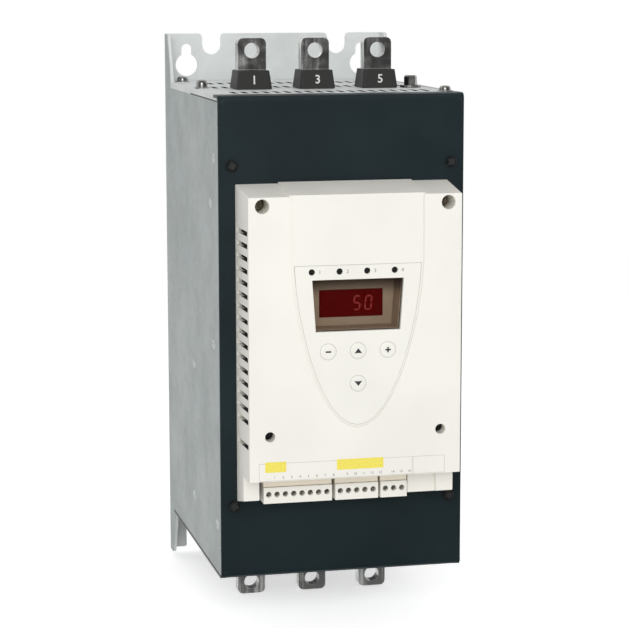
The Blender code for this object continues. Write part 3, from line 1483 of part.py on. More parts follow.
def make_bypass_frame(material):
    """Insulating frame across the chassis: a rear wall behind the core and two guide wings."""
    half = INNER_HALF - GAP
    wing = half - BYPASS_WING
    wall_front = behind(CORE_BACK + GAP)
    wall_back = wall_front + BYPASS_WALL
    wing_front = behind(BYPASS_FRONT)
    outline = [
        (-half, wing_front),
        (-wing, wing_front),
        (-wing, wall_front),
        (wing, wall_front),
        (wing, wing_front),
        (half, wing_front),
        (half, wall_back),
        (-half, wall_back),
    ]
    mesh = bmesh.new()
    add_prism(mesh, [outline], level(BYPASS_BOTTOM), level(BYPASS_TOP))
    frame = add_object("bypass_frame", mesh, material)
    gap = bmesh.new()
    add_box(
        gap,
        (-wing, wall_front - BYPASS_WALL, level(BYPASS_SHELF)),
        (wing, wall_back + BYPASS_WALL, level(BYPASS_TOP) + BYPASS_WALL),
    )
    shape_with(frame, gap, "DIFFERENCE", "bypass_frame_gap")


def make_bypass_core(material):
    """E-shaped laminated core that faces the armature."""
    back = behind(CORE_BACK)
    root = back - CORE_YOKE
    face = behind(CORE_FACE)
    half = CORE_HALF
    side = half - CORE_SIDE_LIMB
    centre = CORE_LIMB / 2
    outline = [
        (-half, back), (-half, face), (-side, face), (-side, root),
        (-centre, root), (-centre, face), (centre, face), (centre, root),
        (side, root), (side, face), (half, face), (half, back),
    ]
    mesh = bmesh.new()
    add_prism(mesh, [outline], level(CORE_LOW), level(CORE_HIGH))
    add_object("bypass_core", mesh, material)


def make_bypass_coil(material):
    """Coil on the core's centre limb."""
    outer = CORE_HALF - CORE_SIDE_LIMB - 2 * GAP
    inner = CORE_LIMB / 2 + GAP
    low = level(CORE_LOW)
    high = level(CORE_HIGH)
    ring = rounded_rectangle(
        -outer, outer, low - COIL_BULGE, high + COIL_BULGE, EAR_CORNER, steps=SMALL_CORNER_STEPS
    )
    window = rectangle(-inner, inner, low - GAP, high + GAP)
    front = behind(CORE_FACE) + 2 * GAP
    back = behind(CORE_BACK) - CORE_YOKE - GAP
    mesh = bmesh.new()
    add_prism(mesh, [ring, window], front, back, "XZ")
    add_object("bypass_coil", mesh, material)


def armature_back():
    """Y of the armature's rear face when the contactor is open."""
    return behind(CORE_FACE) - CONTACT_GAP


def tip_face():
    """Y of the bridge contacts' tips when the contactor is open."""
    return behind(LINE_BAR_DEPTH) - CONTACT_PAD_HEIGHT - CONTACT_GAP


def make_armature(material):
    back = armature_back()
    mesh = bmesh.new()
    add_box(
        mesh,
        (-CORE_HALF, back - ARMATURE_THICKNESS, level(CORE_LOW)),
        (CORE_HALF, back, level(CORE_HIGH)),
    )
    add_object("bypass_armature", mesh, material)


def make_carrier(material):
    """Moving moulding: plate in front of the armature, arm over the coil and a crossbar."""
    plate_back = armature_back() - ARMATURE_THICKNESS - GAP
    plate_front = plate_back - CARRIER_PLATE
    bar_back = tip_face() - BRIDGE_TIP - BRIDGE_THICKNESS - GAP
    bar_front = bar_back - CROSSBAR_DEPTH
    low = level(CONTACT_LEVEL) - CROSSBAR_HEIGHT / 2
    high = low + CROSSBAR_HEIGHT
    profile = [
        (plate_front, level(CARRIER_BOTTOM)),
        (plate_back, level(CARRIER_BOTTOM)),
        (plate_back, low),
        (bar_back, low),
        (bar_back, high),
        (plate_front, high),
    ]
    mesh = bmesh.new()
    add_prism(mesh, [profile], -CARRIER_HALF, CARRIER_HALF, "YZ")
    carrier = add_object("bypass_carrier", mesh, material)
    crossbar = bmesh.new()
    reach = INNER_HALF - GAP - BYPASS_WING - GAP
    for side in (-1, 1):
        near = side * (CARRIER_HALF - CARRIER_PLATE)
        far = side * reach
        add_box(crossbar, (min(near, far), bar_front, low), (max(near, far), bar_back, high))
    shape_with(carrier, crossbar, "UNION", "carrier_crossbar")


def make_bridges(material):
    """Bridge contacts, each a strip with a tip for the line bar and one for the load bar."""
    tip = tip_face()
    strip_back = tip - BRIDGE_TIP
    strip_front = strip_back - BRIDGE_THICKNESS
    middle = level(CONTACT_LEVEL)
    low = middle - BRIDGE_HEIGHT / 2
    high = middle + BRIDGE_HEIGHT / 2
    pad = CONTACT_PAD / 2
    profile = [
        (strip_front, low),
        (strip_front, high),
        (strip_back, high),
        (strip_back, middle + CONTACT_SPREAD + pad),
        (tip, middle + CONTACT_SPREAD + pad),
        (tip, middle + CONTACT_SPREAD - pad),
        (strip_back, middle + CONTACT_SPREAD - pad),
        (strip_back, middle - CONTACT_SPREAD + pad),
        (tip, middle - CONTACT_SPREAD + pad),
        (tip, middle - CONTACT_SPREAD - pad),
        (strip_back, middle - CONTACT_SPREAD - pad),
        (strip_back, low),
    ]
    for number, x in enumerate(POLES, start=1):
        mesh = bmesh.new()
        add_prism(mesh, [profile], x - BRIDGE_WIDTH / 2, x + BRIDGE_WIDTH / 2, "YZ")
        add_object(f"bridge_contact_{number}", mesh, material)


def make_fan_frame(name, side, material):
    """Square frame with a round bore, a hub and four struts at its lower face."""
    x, y = fan_centre(side)
    half = FAN_SIZE / 2
    outer = rounded_rectangle(-half, half, -half, half, FAN_CORNER, steps=SMALL_CORNER_STEPS)
    base = BOTTOM + PLATE_SHEET + GAP
    mesh = bmesh.new()
    add_prism(mesh, [outer, circle(0, 0, FAN_BORE, FAN_BORE_STEPS)], 0.0, FAN_HEIGHT)
    frame = add_object(name, mesh, material, (x, y, base))
    hub = bmesh.new()
    bore = FAN_SHAFT + FAN_SHAFT_CLEARANCE
    ring = circle(0, 0, FAN_HUB, ROUND_STEPS)
    add_prism(hub, [ring, circle(0, 0, bore, SCREW_HOLE_STEPS)], 0.0, FAN_STRUT_HEIGHT)
    shape_with(frame, hub, "UNION", f"{name}_hub")
    reach = (FAN_BORE + FAN_SIZE / 2) / 2
    root = FAN_HUB - FAN_STRUT
    struts = bmesh.new()
    for index in range(FAN_STRUTS):
        turn = Matrix.Rotation(2 * math.pi * index / FAN_STRUTS, 2)
        corners = rectangle(root, reach, -FAN_STRUT / 2, FAN_STRUT / 2)
        turned = [tuple(turn @ Vector(corner)) for corner in corners]
        add_prism(struts, [turned], 0.0, FAN_STRUT_HEIGHT)
    shape_with(frame, struts, "UNION", f"{name}_struts")


def add_blade(mesh, turn, low, high):
    """A twisted blade from inside the hub to near the bore."""
    middle = (low + high) / 2
    rings = []
    for radius, pitch in (
        (FAN_HUB - FAN_STRUT, BLADE_PITCH + BLADE_TWIST),
        ((FAN_HUB + FAN_BORE - FAN_AIR_GAP) / 2, BLADE_PITCH),
        (FAN_BORE - FAN_AIR_GAP, BLADE_PITCH - BLADE_TWIST),
    ):
        angle = math.radians(pitch)
        ring = []
        for along, thick in BLADE_SECTION:
            span = along * min(BLADE_CHORD, (high - low) / math.sin(angle))
            offset = thick * BLADE_THICKNESS
            curl = BLADE_THICKNESS * (1 - 4 * along * along)
            across = span * math.cos(angle) - (offset + curl) * math.sin(angle)
            lift = span * math.sin(angle) + (offset + curl) * math.cos(angle)
            ring.append((radius, across, middle + lift * BLADE_LIFT))
        rings.append([mesh.verts.new(turn @ Vector(point)) for point in ring])
    faces = [mesh.faces.new(rings[0]), mesh.faces.new(rings[-1])]
    for near, away in zip(rings, rings[1:]):
        faces += bridge(mesh, near, away)
    close_solid(mesh, faces)


def make_fan_rotor(name, side, material):
    """Hub cup with a shaft stub and twisted blades, turning about the frame's axis."""
    x, y = fan_centre(side)
    base = BOTTOM + PLATE_SHEET + GAP
    low = FAN_STRUT_HEIGHT + FAN_SHAFT_CLEARANCE
    high = FAN_HEIGHT - FAN_AIR_GAP
    profile = [
        (FAN_SHAFT, FAN_SHAFT_CLEARANCE),
        (FAN_SHAFT, low),
        (FAN_HUB, low),
        (FAN_HUB, high - FAN_STRUT / 2),
        (FAN_HUB - FAN_STRUT / 2, high),
    ]
    mesh = bmesh.new()
    add_turned(mesh, profile, ROUND_STEPS)
    rotor = add_object(name, mesh, material, (x, y, base))
    blades = bmesh.new()
    for index in range(BLADE_COUNT):
        turn = Matrix.Rotation(2 * math.pi * index / BLADE_COUNT, 3, "Z")
        add_blade(blades, turn, low + FAN_AIR_GAP, high - FAN_AIR_GAP)
    shape_with(rotor, blades, "UNION", f"{name}_blades")


def make_earth_screw(material):
    """Hexagon-head screw with a washer on the top plate."""
    base = TOP + GAP
    washer_top = base + EARTH_WASHER_HEIGHT
    place = (EARTH_X, behind(EARTH_DEPTH))
    mesh = bmesh.new()
    profile = [
        (EARTH_SHANK, base - EARTH_LENGTH),
        (EARTH_SHANK, base),
        (EARTH_WASHER_RADIUS, base),
        (EARTH_WASHER_RADIUS, washer_top),
        (EARTH_HEAD_RADIUS * EARTH_COLLAR, washer_top),
    ]
    add_turned(mesh, profile, BAR_HOLE_STEPS, "XY", place)
    screw = add_object("earth_screw", mesh, material)
    head = bmesh.new()
    head_profile = [
        (EARTH_HEAD_RADIUS, base + EARTH_WASHER_HEIGHT / 2),
        (EARTH_HEAD_RADIUS, washer_top + EARTH_HEAD_HEIGHT * EARTH_RIM),
        (EARTH_HEAD_RADIUS * EARTH_CROWN, washer_top + EARTH_HEAD_HEIGHT),
    ]
    add_turned(head, head_profile, HEXAGON, "XY", place)
    shape_with(screw, head, "UNION", "earth_screw_head")


def main():
    clear_scene()
    galvanised = make_material("galvanised_sheet", (0.36, 0.38, 0.38), 0.45, 0.6)
    black_sheet = make_material("black_sheet", (0.018, 0.026, 0.028), 0.45)
    cream = make_material("cream_plastic", (0.94, 0.91, 0.84), 0.5)
    cream_film = make_material("cream_film", (0.93, 0.91, 0.83), 0.4)
    smoked = make_material("smoked_window", (0.10, 0.08, 0.06), 0.15, 0.0, 0.6)
    red_display = make_material("red_display", (0.16, 0.0, 0.002), 0.3)
    light_guide = make_material("light_guide", (0.02, 0.02, 0.02), 0.2)
    tinned = make_material("tinned_copper", (0.55, 0.55, 0.53), 0.3, 1.0)
    black_plastic = make_material("black_plastic", (0.02, 0.02, 0.022), 0.5)
    aluminium = make_material("aluminium", (0.6, 0.61, 0.62), 0.4, 1.0)
    board_green = make_material("circuit_board", (0.02, 0.12, 0.05), 0.5)
    steel = make_material("bright_steel", (0.5, 0.5, 0.5), 0.3, 1.0)
    iron = make_material("laminated_iron", (0.2, 0.2, 0.21), 0.5, 0.8)
    winding = make_material("coil_winding", (0.35, 0.12, 0.04), 0.5)
    beige = make_material("beige_plastic", (0.55, 0.42, 0.30), 0.5)
    resin = make_material("module_resin", (0.75, 0.74, 0.70), 0.5)

    make_chassis(galvanised)
    make_top_plate(galvanised)
    make_bottom_plate(galvanised)
    make_front_cover(black_sheet)
    make_cover_screws(black_plastic)
    make_control_housing(cream)
    make_keypad_overlay(cream_film)
    make_display_window(smoked)
    make_display_module(red_display)
    make_light_guide(light_guide)
    make_keys(cream_film)
    make_control_board(board_green)
    make_headers(beige)
    make_plugs(cream)
    make_line_bars(tinned)
    make_load_bars(tinned)
    make_shrouds(black_plastic)
    make_heatsink(aluminium)
    make_modules(resin)
    make_sensors(black_plastic)
    make_power_board(board_green)
    make_board_connector(black_plastic)
    make_bypass_frame(black_plastic)
    make_bypass_core(iron)
    make_bypass_coil(winding)
    make_armature(iron)
    make_carrier(black_plastic)
    make_bridges(tinned)
    for name, side in (("left", -1), ("right", 1)):
        make_fan_frame(f"fan_frame_{name}", side, black_plastic)
        make_fan_rotor(f"fan_rotor_{name}", side, black_plastic)
    make_earth_screw(steel)


main()
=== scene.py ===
"""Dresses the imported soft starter: finishes, small fasteners, printed marks, floor, light and camera."""

import json
import math

import bmesh
import bpy
from mathutils import Matrix, Vector
from mathutils.geometry import convex_hull_2d


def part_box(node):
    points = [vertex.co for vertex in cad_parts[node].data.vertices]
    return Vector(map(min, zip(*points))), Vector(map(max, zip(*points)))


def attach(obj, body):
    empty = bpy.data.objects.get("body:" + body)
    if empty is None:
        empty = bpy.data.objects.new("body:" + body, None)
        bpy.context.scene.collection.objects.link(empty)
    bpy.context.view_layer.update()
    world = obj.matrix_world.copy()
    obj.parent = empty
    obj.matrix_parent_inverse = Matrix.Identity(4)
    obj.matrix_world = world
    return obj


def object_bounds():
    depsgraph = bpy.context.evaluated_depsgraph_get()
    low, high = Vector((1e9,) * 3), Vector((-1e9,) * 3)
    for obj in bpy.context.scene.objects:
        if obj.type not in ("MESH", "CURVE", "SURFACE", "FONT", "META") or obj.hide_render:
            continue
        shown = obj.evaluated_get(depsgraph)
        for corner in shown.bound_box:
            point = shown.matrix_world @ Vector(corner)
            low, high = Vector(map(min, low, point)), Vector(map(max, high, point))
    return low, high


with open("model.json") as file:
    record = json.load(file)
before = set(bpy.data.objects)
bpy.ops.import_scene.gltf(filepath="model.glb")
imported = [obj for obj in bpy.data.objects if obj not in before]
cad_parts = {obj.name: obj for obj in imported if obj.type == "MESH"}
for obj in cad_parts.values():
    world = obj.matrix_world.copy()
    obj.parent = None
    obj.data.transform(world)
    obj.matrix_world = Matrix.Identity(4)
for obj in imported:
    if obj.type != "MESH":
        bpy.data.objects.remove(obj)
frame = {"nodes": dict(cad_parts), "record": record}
CAD_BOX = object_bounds()

# Camera: place, angles and focal length in pixels of the picture's width
PICTURE_WIDTH = 628
CAMERA_PLACE = (-0.306137, -1.439365, 0.213736)
CAMERA_YAW = 13.057
CAMERA_PITCH = 8.855
CAMERA_ROLL = -0.087
CAMERA_FOCAL_PIXELS = 2161.476
SENSOR_WIDTH = 36.0

# Light
WORLD_LIGHT = 0.60
ROOM_REFLECTION = 0.12
ROOM_NEAR = -0.55
ROOM_FAR = 0.35
KEY_PLACE = (-0.45, -2.40, 0.80)
KEY_SIZE = 1.4
KEY_POWER = 22.0
TARGET = (0.0, -0.10, 0.0)

# How far an edge has turned, as the cosine of the angle, where the painted edge colour is full and where it
# ends
EDGE_TURN = (0.75, 0.98)

# Stage
FLOOR_RADIUS = 6.0
FLOOR_STEPS = 96
FLOOR_COLOR = (0.93, 0.93, 0.93)
FLOOR_DROP = 0.0004
FADE_NEAR = 0.35
FADE_FAR = 1.6
FLOOR_LIFT = 0.50
TABLE_EDGE = (-0.20, 0.02)

# Steps, planes and sizes in metres that the pieces share; thin marks are measured in PRINT
PRINT = 0.00008
DOME_STEPS = 5
TURN_STEPS = 28
HALF_WIDTH = CAD_BOX[1].x
FRONT_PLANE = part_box("front_cover")[0].y
TOP_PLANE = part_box("top_plate")[1].z
SIDE_SEAM = 0.0038
SIDE_FLANGE = 0.0215
QUARTER_TURN = Matrix.Rotation(math.pi / 2, 4, "Z")
SMOOTH_ANGLE = math.radians(35)
RAY_START = -1.0


def srgb(red, green, blue):
    """A colour of the screen, 0 to 255, as the linear colour that a shader takes."""
    def linear(value):
        value /= 255
        return value / 12.92 if value <= 0.04045 else ((value + 0.055) / 1.055) ** 2.4
    return linear(red), linear(green), linear(blue), 1.0


def shade(color, factor):
    """A colour made lighter or darker."""
    return tuple(min(value * factor, 1.0) for value in color[:3]) + (1.0,)


def add_node(tree, kind, values=(), **settings):
    """Adds a node, applies its settings, and fills its sockets with links or plain values."""
    node = tree.nodes.new(kind)
    for name, setting in settings.items():
        setattr(node, name, setting)
    for socket, value in dict(values).items():
        if isinstance(value, bpy.types.NodeSocket):
            tree.links.new(value, node.inputs[socket])
        else:
            node.inputs[socket].default_value = value
    return node


class Finish:
    """A Principled material whose pattern is placed in metres on the object."""

    def __init__(self, name, base, roughness, metallic=0.0, specular=0.5):
        self.material = bpy.data.materials.new(name)
        self.material.use_nodes = True
        self.tree = self.material.node_tree
        self.shader = self.tree.nodes["Principled BSDF"]
        self.shader.inputs["Base Color"].default_value = base
        self.shader.inputs["Roughness"].default_value = roughness
        self.shader.inputs["Metallic"].default_value = metallic
        self.shader.inputs["Specular IOR Level"].default_value = specular
        self.base = base
        self.place = self.add("ShaderNodeTexCoord").outputs["Object"]
        self.relief = None

    def add(self, kind, values=(), **settings):
        """Adds a node to this material."""
        return add_node(self.tree, kind, values, **settings)

    def along(self, axis):
        """The object coordinate along one axis, in metres."""
        return self.add("ShaderNodeSeparateXYZ", {0: self.place}).outputs[axis]

    def math(self, operation, *values):
        """One of the Math node's operations."""
        return self.add("ShaderNodeMath", enumerate(values), operation=operation).outputs[0]

    def product(self, first, *others):
        """All the factors multiplied."""
        for other in others:
            first = self.math("MULTIPLY", first, other)
        return first

    def noise(self, scale, detail=2.0, stretch=None):
        """Clouds, drawn out along the axes whose stretch is small."""
        place = self.place
        if stretch:
            place = self.add("ShaderNodeMapping", {"Vector": place, "Scale": stretch}).outputs["Vector"]
        values = {"Vector": place, "Scale": scale, "Detail": detail}
        return self.add("ShaderNodeTexNoise", values).outputs["Fac"]

    def cells(self, scale, feature="F1", output="Distance"):
        """Grains with straight borders."""
        node = self.add("ShaderNodeTexVoronoi", {"Vector": self.place, "Scale": scale}, feature=feature)
        return node.outputs[output]

    def waves(self, scale, direction="Z"):
        """Even stripes across one axis."""
        values = {"Vector": self.place, "Scale": scale}
        return self.add("ShaderNodeTexWave", values, bands_direction=direction).outputs["Fac"]

    def between(self, factor, low, high, start=0.3, end=0.7):
        """Runs smoothly from the low to the high value as the factor goes from start to end."""
        values = {"Value": factor, "From Min": start, "From Max": end, "To Min": low, "To Max": high}
        return self.add("ShaderNodeMapRange", values, interpolation_type="SMOOTHSTEP").outputs["Result"]

    def blend(self, factor, first, second):
        """Mixes two colours."""
        node = self.add("ShaderNodeMix", {"Factor": factor, "A": first, "B": second}, data_type="RGBA")
        return node.outputs["Result"]

    def color(self, value):
        """Links a pattern to the base colour."""
        self.tree.links.new(value, self.shader.inputs["Base Color"])

    def mottle(self, scale, detail, darker, lighter):
        """Clouds of a darker and a lighter shade of the base colour."""
        clouds = self.between(self.noise(scale, detail), 0.0, 1.0)
        self.color(self.blend(clouds, shade(self.base, darker), shade(self.base, lighter)))

    def overlay(self, mask, color):
        """Lays another colour over the pattern that is there."""
        self.color(self.blend(mask, self.shader.inputs["Base Color"].links[0].from_socket, color))

    def roughness(self, value):
        """Links a pattern to the roughness."""
        self.tree.links.new(value, self.shader.inputs["Roughness"])

    def bump(self, height, distance, strength=1.0):
        """Adds a relief of the given depth in metres on top of what is there."""
        values = {"Distance": distance, "Strength": strength, "Height": height}
        if self.relief:
            values["Normal"] = self.relief
        self.relief = self.add("ShaderNodeBump", values).outputs["Normal"]
        self.tree.links.new(self.relief, self.shader.inputs["Normal"])

    def edge_wear(self, edge_color, radius, amount):
        """Lays a colour along the outer edges: rubbed wear with a painted highlight where that colour is
        lighter, painted shade where it is darker.
        """
        rounded = self.add("ShaderNodeBevel", {"Radius": radius}).outputs["Normal"]
        flat = self.add("ShaderNodeNewGeometry").outputs["Normal"]
        turn = self.add("ShaderNodeVectorMath", {0: rounded, 1: flat}, operation="DOT_PRODUCT")
        self.overlay(self.between(turn.outputs["Value"], amount, 0.0, *EDGE_TURN), edge_color)


# Finishes of the CAD's material slots

# Where the painted shade on the sheet metal starts and ends: smooth runs, in metres
SIDE_FACE = (HALF_WIDTH - 0.0006, HALF_WIDTH - 0.0002)
BEHIND_FLANGE = (-SIDE_FLANGE - 0.0080, -SIDE_FLANGE)
UNDER_SEAM = (TOP_PLANE - SIDE_SEAM, TOP_PLANE - SIDE_SEAM + 0.0003)
VENT_TOP = (TOP_PLANE - 0.00012, TOP_PLANE - 0.00004)
VENT_BOTTOM = (TOP_PLANE - 0.0020, TOP_PLANE - 0.0018)
VENT_SIDES = (HALF_WIDTH - 0.0060, HALF_WIDTH - 0.0050)
VENT_REAR = (-SIDE_FLANGE, -SIDE_FLANGE + 0.0010)
VENT_SHADE_COLOR = (0.045, 0.046, 0.044, 1.0)


def galvanised_sheet():
    """Zinc-coated steel with soft clouds and small crystals.

    The two side panels carry painted shade, and the punched edges of the top plate's vents carry dark
    painted shade.
    """
    base, side_shade_color = (0.745, 0.77, 0.765, 1.0), (0.406, 0.448, 0.440, 1.0)
    finish = Finish("galvanised_sheet", base, 0.50, metallic=0.03, specular=0.12)
    clouds = finish.between(finish.noise(38, 4.0), 0.0, 1.0)
    unshaded = finish.blend(clouds, shade(base, 0.94), shade(base, 1.06))
    side_shade = finish.blend(clouds, shade(side_shade_color, 0.95), shade(side_shade_color, 1.06))
    sideways = finish.math("ABSOLUTE", finish.along("X"))
    depth, height = finish.along("Y"), finish.along("Z")
    outside = finish.between(sideways, 0.0, 1.0, *SIDE_FACE)
    behind = finish.between(depth, 0.0, 1.0, *BEHIND_FLANGE)
    below = finish.between(height, 1.0, 0.0, *UNDER_SEAM)
    # Painted shade: the outer faces of the side panels take a darker colour below the top seam and beside
    # the rear flanges
    side = finish.product(outside, finish.math("MAXIMUM", behind, below))
    finish.color(finish.blend(side, unshaded, side_shade))
    finish.overlay(finish.between(finish.cells(260, output="Color"), 0.0, 0.10, 0.0, 1.0), shade(base, 1.20))
    finish.roughness(finish.between(finish.noise(22, 3.0), 0.42, 0.56))
    finish.bump(finish.noise(520, 2.0, stretch=(1, 1, 0.12)), 0.00002, 0.35)
    # Painted highlight: a lighter colour along the bends and edges of the sheet
    finish.edge_wear(shade(base, 1.30), 0.0012, 0.5)
    # Painted shade: the punched edges of the top plate's vents are dark
    vent_shade = finish.product(
        finish.between(height, 1.0, 0.0, *VENT_TOP), finish.between(height, 0.0, 1.0, *VENT_BOTTOM),
        finish.between(sideways, 1.0, 0.0, *VENT_SIDES), finish.between(depth, 1.0, 0.0, *VENT_REAR),
    )
    finish.overlay(vent_shade, VENT_SHADE_COLOR)
    return finish.material


def black_sheet():
    """Powder-coated cover sheet: fine orange peel and painted highlights on its folds."""
    base = (0.0105, 0.0208, 0.0252, 1.0)
    finish = Finish("black_sheet", base, 0.46, specular=0.20)
    finish.mottle(14, 3.0, 0.88, 1.14)
    finish.roughness(finish.between(finish.noise(60, 3.0), 0.40, 0.52))
    finish.bump(finish.noise(1900, 2.0), 0.00003, 0.35)
    finish.edge_wear((0.06, 0.075, 0.08, 1.0), 0.0010, 0.5)
    return finish.material


def moulded(name, base, roughness, specular=0.4, grain=0.00003):
    """Moulded plastic with a fine spark-eroded grain and faint flow marks."""
    finish = Finish(name, base, roughness, specular=specular)
    finish.mottle(18, 2.0, 0.975, 1.02)
    finish.roughness(finish.between(finish.noise(90, 2.0), roughness - 0.04, roughness + 0.05))
    finish.bump(finish.noise(2400, 1.0), grain, 0.5)
    return finish


# Where the control housing's side vents lie, for the painted shade on their sills: starts and ends of smooth
# runs, in metres
SILL_SIDE = (0.0550, 0.0560)
SILL_ROWS = (0.0740, 0.0750)
SILL_FRONT = (-0.2275, -0.2270)
SILL_BACK = (-0.2100, -0.2060)
LEVEL_FACE = (0.90, 0.97)


def cream_plastic():
    """Cream housing, with dark painted shade on the sills in its side vents."""
    finish = moulded("cream_plastic", (0.92, 0.90, 0.835, 1.0), 0.46, specular=0.3)
    normal = finish.add("ShaderNodeNewGeometry").outputs["Normal"]
    upwards = finish.add("ShaderNodeSeparateXYZ", {0: normal}).outputs["Z"]
    depth = finish.along("Y")
    sill_shade = finish.product(
        finish.between(finish.math("ABSOLUTE", upwards), 0.0, 1.0, *LEVEL_FACE),
        finish.between(finish.math("ABSOLUTE", finish.along("X")), 0.0, 1.0, *SILL_SIDE),
        finish.between(finish.math("ABSOLUTE", finish.along("Z")), 1.0, 0.0, *SILL_ROWS),
        finish.between(depth, 0.0, 1.0, *SILL_FRONT), finish.between(depth, 1.0, 0.0, *SILL_BACK),
    )
    finish.overlay(sill_shade, shade(finish.base, 0.06))
    return finish.material


def cream_film():
    """Printed keypad film, a little smoother than the housing."""
    return moulded("cream_film", (0.91, 0.895, 0.83, 1.0), 0.36, specular=0.3, grain=0.00001).material


def smoked_window():
    """Clear brown plastic in front of the display."""
    finish = Finish("smoked_window", (0.030, 0.014, 0.010, 1.0), 0.10, specular=0.12)
    finish.roughness(finish.between(finish.noise(120, 3.0), 0.06, 0.14))
    finish.shader.inputs["Alpha"].default_value = 0.10
    return finish.material


def red_display():
    """Red filter of the display, with the faint edges of its four digit fields."""
    base = (0.120, 0.0001, 0.0004, 1.0)
    finish = Finish("red_display", base, 0.30, specular=0.02)
    fields = finish.between(finish.waves(45, "X"), 0.0, 0.25, 0.9, 1.0)
    finish.color(finish.blend(fields, base, shade(base, 0.55)))
    finish.bump(finish.noise(1500, 1.0), 0.00001, 0.3)
    return finish.material


def light_guide():
    """Tips of the status lights, dark while they are off."""
    finish = Finish("light_guide", (0.012, 0.013, 0.012, 1.0), 0.28, specular=0.4)
    finish.roughness(finish.between(finish.noise(700, 1.0), 0.22, 0.34))
    return finish.material


def tinned_copper():
    """Tin-plated bar: drawing lines along it, dull patches and painted highlights on its edges."""
    base = (0.66, 0.67, 0.65, 1.0)
    finish = Finish("tinned_copper", base, 0.24, metallic=1.0)
    lines = finish.between(finish.noise(420, 3.0, stretch=(1, 1, 0.05)), 0.0, 1.0, 0.35, 0.65)
    patches = finish.between(finish.noise(110, 3.0, stretch=(1, 1, 0.35)), 0.0, 1.0, 0.36, 0.62)
    color = finish.blend(lines, shade(base, 0.35), shade(base, 1.30))
    finish.color(finish.blend(patches, color, shade(base, 0.40)))
    finish.roughness(finish.between(finish.noise(160, 3.0), 0.16, 0.30))
    finish.bump(finish.noise(620, 2.0, stretch=(1, 1, 0.04)), 0.00005, 0.7)
    finish.edge_wear((0.92, 0.91, 0.88, 1.0), 0.0009, 0.7)
    return finish.material


def black_plastic():
    """Matt black moulding with slightly lighter edges."""
    base = (0.0400, 0.0400, 0.0385, 1.0)
    finish = moulded("black_plastic", base, 0.46, specular=0.12)
    finish.edge_wear((0.07, 0.07, 0.072, 1.0), 0.0006, 0.6)
    return finish.material


def aluminium():
    """Extruded aluminium with its die lines."""
    base = (0.60, 0.61, 0.62, 1.0)
    finish = Finish("aluminium", base, 0.38, metallic=1.0)
    lines = finish.between(finish.noise(1200, 2.0, stretch=(1, 1, 0.02)), 0.0, 1.0)
    finish.color(finish.blend(lines, shade(base, 0.85), shade(base, 1.08)))
    finish.bump(finish.noise(900, 1.0, stretch=(1, 1, 0.02)), 0.00002, 0.6)
    return finish.material


def circuit_board():
    """Green solder mask over copper tracks, with pads."""
    base = (0.012, 0.085, 0.035, 1.0)
    finish = Finish("circuit_board", base, 0.30)
    tracks = finish.between(finish.cells(210, "DISTANCE_TO_EDGE"), 0.0, 1.0, 0.02, 0.05)
    color = finish.blend(tracks, shade(base, 1.9), base)
    pads = finish.between(finish.cells(330), 1.0, 0.0, 0.10, 0.16)
    finish.color(finish.blend(pads, color, (0.45, 0.43, 0.38, 1.0)))
    finish.bump(tracks, 0.00003, 0.5)
    return finish.material


def bright_steel():
    """Zinc-plated screws."""
    base = (0.33, 0.33, 0.315, 1.0)
    finish = Finish("bright_steel", base, 0.28, metallic=1.0)
    finish.mottle(170, 2.0, 0.85, 1.15)
    finish.roughness(finish.between(finish.noise(220, 2.0), 0.22, 0.32))
    # Painted shade: the edges take a darker colour, as dark rims round the heads
    finish.edge_wear((0.10, 0.10, 0.10, 1.0), 0.0005, 0.6)
    return finish.material


def laminated_iron():
    """Stacked core plates, seen as thin lines."""
    base = (0.16, 0.16, 0.17, 1.0)
    finish = Finish("laminated_iron", base, 0.5, metallic=0.8)
    sheets = finish.waves(500, "X")
    finish.color(finish.blend(sheets, shade(base, 0.6), shade(base, 1.2)))
    finish.bump(sheets, 0.00005, 0.6)
    return finish.material


def coil_winding():
    """Varnished turns of copper wire."""
    base = (0.36, 0.12, 0.04, 1.0)
    finish = Finish("coil_winding", base, 0.3)
    turns = finish.waves(420, "Z")
    finish.color(finish.blend(turns, shade(base, 0.5), shade(base, 1.2)))
    finish.bump(turns, 0.0001, 0.8)
    return finish.material


def beige_plastic():
    """Headers that the terminal blocks plug into."""
    return moulded("beige_plastic", (0.95, 0.87, 0.73, 1.0), 0.48).material


def module_resin():
    """Pale case of a power module."""
    return moulded("module_resin", (0.66, 0.65, 0.61, 1.0), 0.42).material


# Finishes of the scene's own pieces

# Share of the window's height where the painted shade towards its top begins
SHADE_START = 0.55


def window_shade():
    """Dull brown tray behind the window, with painted shade darkening it towards its top."""
    base = srgb(180, 159, 135)
    finish = moulded("window_shade", base, 0.60, specular=0.1)
    low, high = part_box("display_window")
    start = low.z + SHADE_START * (high.z - low.z)
    top = finish.between(finish.along("Z"), 0.0, 1.0, start, high.z)
    finish.color(finish.blend(top, base, shade(base, 0.15)))
    return finish.material


def dark_steel():
    """Black-oxide screws, lighter on their edges: rubbed wear and a painted highlight."""
    base = (0.017, 0.017, 0.018, 1.0)
    finish = Finish("dark_steel", base, 0.34, metallic=0.5, specular=0.2)
    finish.mottle(600, 3.0, 0.6, 1.8)
    finish.edge_wear((0.30, 0.30, 0.30, 1.0), 0.0002, 0.35)
    return finish.material


def browned_steel():
    """Brown screws deep in the upper bores of the control housing; their brown is painted shade of the
    bores, and their edges carry a painted highlight.
    """
    base = (0.150, 0.126, 0.088, 1.0)
    finish = Finish("browned_steel", base, 0.45, metallic=0.3, specular=0.2)
    finish.mottle(600, 3.0, 0.7, 1.5)
    finish.edge_wear((0.30, 0.29, 0.26, 1.0), 0.0002, 0.35)
    return finish.material


